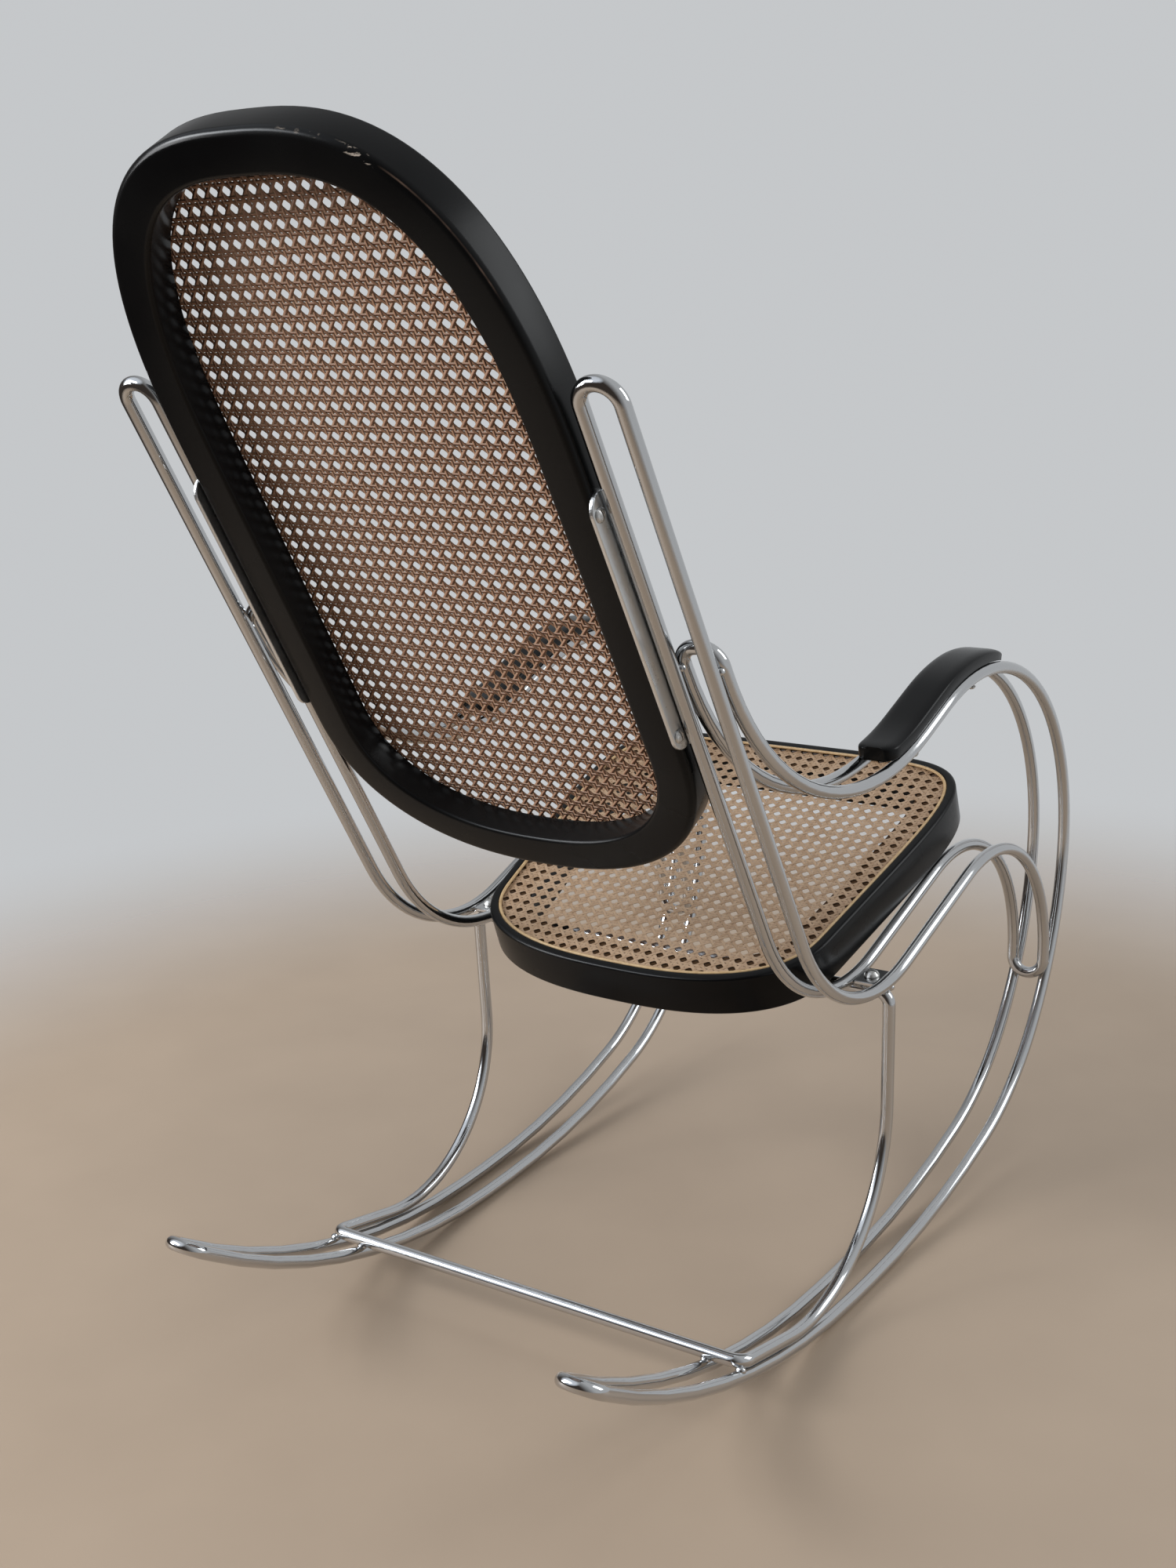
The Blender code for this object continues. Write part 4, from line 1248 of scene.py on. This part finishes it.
floor_shape = bmesh.new()
bmesh.ops.create_circle(floor_shape, cap_ends=True, segments=FLOOR_SEGMENTS, radius=FLOOR_RADIUS)
floor_mesh = bpy.data.meshes.new("floor")
floor_shape.to_mesh(floor_mesh)
floor_shape.free()
floor_mesh.transform(Matrix.Translation((0, 0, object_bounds()[0].z)))
floor = bpy.data.objects.new("floor", floor_mesh)
scene.collection.objects.link(floor)

# %% Floor finish
FADE_START = 0.80
SAND = (0.44, 0.335, 0.245)
DARK_SAND = (0.415, 0.315, 0.23)
FLOOR_BOUNCE = (0.27, 0.18, 0.12)

floor_finish, tree, shader = new_finish("pale_floor", SAND, roughness=0.55)
sand = mix_colours(tree, spread(tree, object_noise(tree, 6.0)), SAND, DARK_SAND)
diffuse_ray = tree.nodes.new("ShaderNodeLightPath").outputs["Is Diffuse Ray"]
tree.links.new(mix_colours(tree, diffuse_ray, sand, FLOOR_BOUNCE), shader.inputs["Base Color"])
place = tree.nodes.new("ShaderNodeTexCoord").outputs["Object"]
fade = spread(tree, vector_value(tree, "LENGTH", place), within=(FADE_START, FLOOR_RADIUS))
fade.node.interpolation_type = "SMOOTHSTEP"
clear = tree.nodes.new("ShaderNodeBsdfTransparent")
merge = add_node(tree, "ShaderNodeMixShader", [
    (0, fade), (1, shader.outputs["BSDF"]), (2, clear.outputs["BSDF"]),
])
tree.links.new(merge.outputs["Shader"], tree.nodes["Material Output"].inputs["Surface"])
floor_mesh.materials.append(floor_finish)
print("floor fades from", FADE_START, "to", FLOOR_RADIUS)

# %% [markdown]
# ## Room
# The camera sees a plain pale wall.  Reflections see that wall on its own side, and on the camera's
# side a dark room with one bright skylight, which gives the chrome and the lacquer something to
# show.  Diffuse rays see a dim room and a brighter wall, which fill in the shadows.

# %% Room
WALL = (0.56, 0.575, 0.59)
WALL_LIGHT = (0.72, 0.76, 0.80)
WALL_SIDE = Vector((-0.60, -0.78, 0.18)).normalized()
WALL_EDGE = (-0.45, 0.45)
SKYLIGHT = (0.90, 0.96, 1.05)
SKYLIGHT_SIDE = Vector((0.53, 0.45, 0.72)).normalized()
SKYLIGHT_EDGE = (0.74, 0.88)
ROOM_SHADE = (0.050, 0.040, 0.034)
ROOM_LIGHT = (0.14, 0.135, 0.13)

world = bpy.data.worlds.new("room")
scene.world = world
world.use_nodes = True
tree = world.node_tree
background = tree.nodes["Background"]
direction = tree.nodes.new("ShaderNodeTexCoord").outputs["Generated"]


def towards(side, edge):
    """A share that grows from 0 to 1 as a ray turns towards a side of the room."""
    return spread(tree, vector_value(tree, "DOT_PRODUCT", direction, side), within=edge)


path = tree.nodes.new("ShaderNodeLightPath")
mirrored = mix_colours(tree, towards(SKYLIGHT_SIDE, SKYLIGHT_EDGE), ROOM_SHADE, SKYLIGHT)
room = mix_colours(tree, path.outputs["Is Glossy Ray"], ROOM_LIGHT, mirrored)
wall = mix_colours(tree, path.outputs["Is Glossy Ray"], WALL_LIGHT, WALL)
surroundings = mix_colours(tree, towards(WALL_SIDE, WALL_EDGE), room, wall)
tree.links.new(surroundings, background.inputs["Color"])
wall_seen = add_node(tree, "ShaderNodeBackground", Color=(*WALL, 1.0), Strength=1.0)
choice = add_node(tree, "ShaderNodeMixShader", [
    (0, path.outputs["Is Camera Ray"]),
    (1, background.outputs["Background"]),
    (2, wall_seen.outputs["Background"]),
])
tree.links.new(choice.outputs["Shader"], tree.nodes["World Output"].inputs["Surface"])
print("room set:", world.name)

# %% [markdown]
# ## Windows
# Three large soft windows light the chair: one on the right of the view, one on the left, and a
# wide one high on the left, which draws highlights along the lower bar and the top of the back.

# %% Windows
def add_window(name, place, target, size, power, colour):
    lamp = bpy.data.lights.new(name, "AREA")
    lamp.shape = "RECTANGLE"
    lamp.size, lamp.size_y = size
    lamp.energy = power
    lamp.color = colour
    holder = bpy.data.objects.new(name, lamp)
    aim = Vector(target) - Vector(place)
    turn = aim.to_track_quat("-Z", "Y").to_matrix().to_4x4()
    holder.matrix_world = Matrix.Translation(place) @ turn
    scene.collection.objects.link(holder)


add_window("right_window", (-2.3, -1.3, 1.9), (0.0, 0.0, 0.4), (1.4, 1.8), 27.0, (0.95, 0.98, 1.0))
add_window("left_window", (2.5, 1.9, 1.5), (0.0, 0.0, 0.5), (1.1, 1.7), 54.0, (0.97, 0.98, 1.0))
add_window("rear_window", (1.55, 1.95, 1.95), (0.0, 0.2, 0.6), (1.5, 0.65), 36.0, (0.92, 0.96, 1.0))
print("windows:", len(bpy.data.lights))
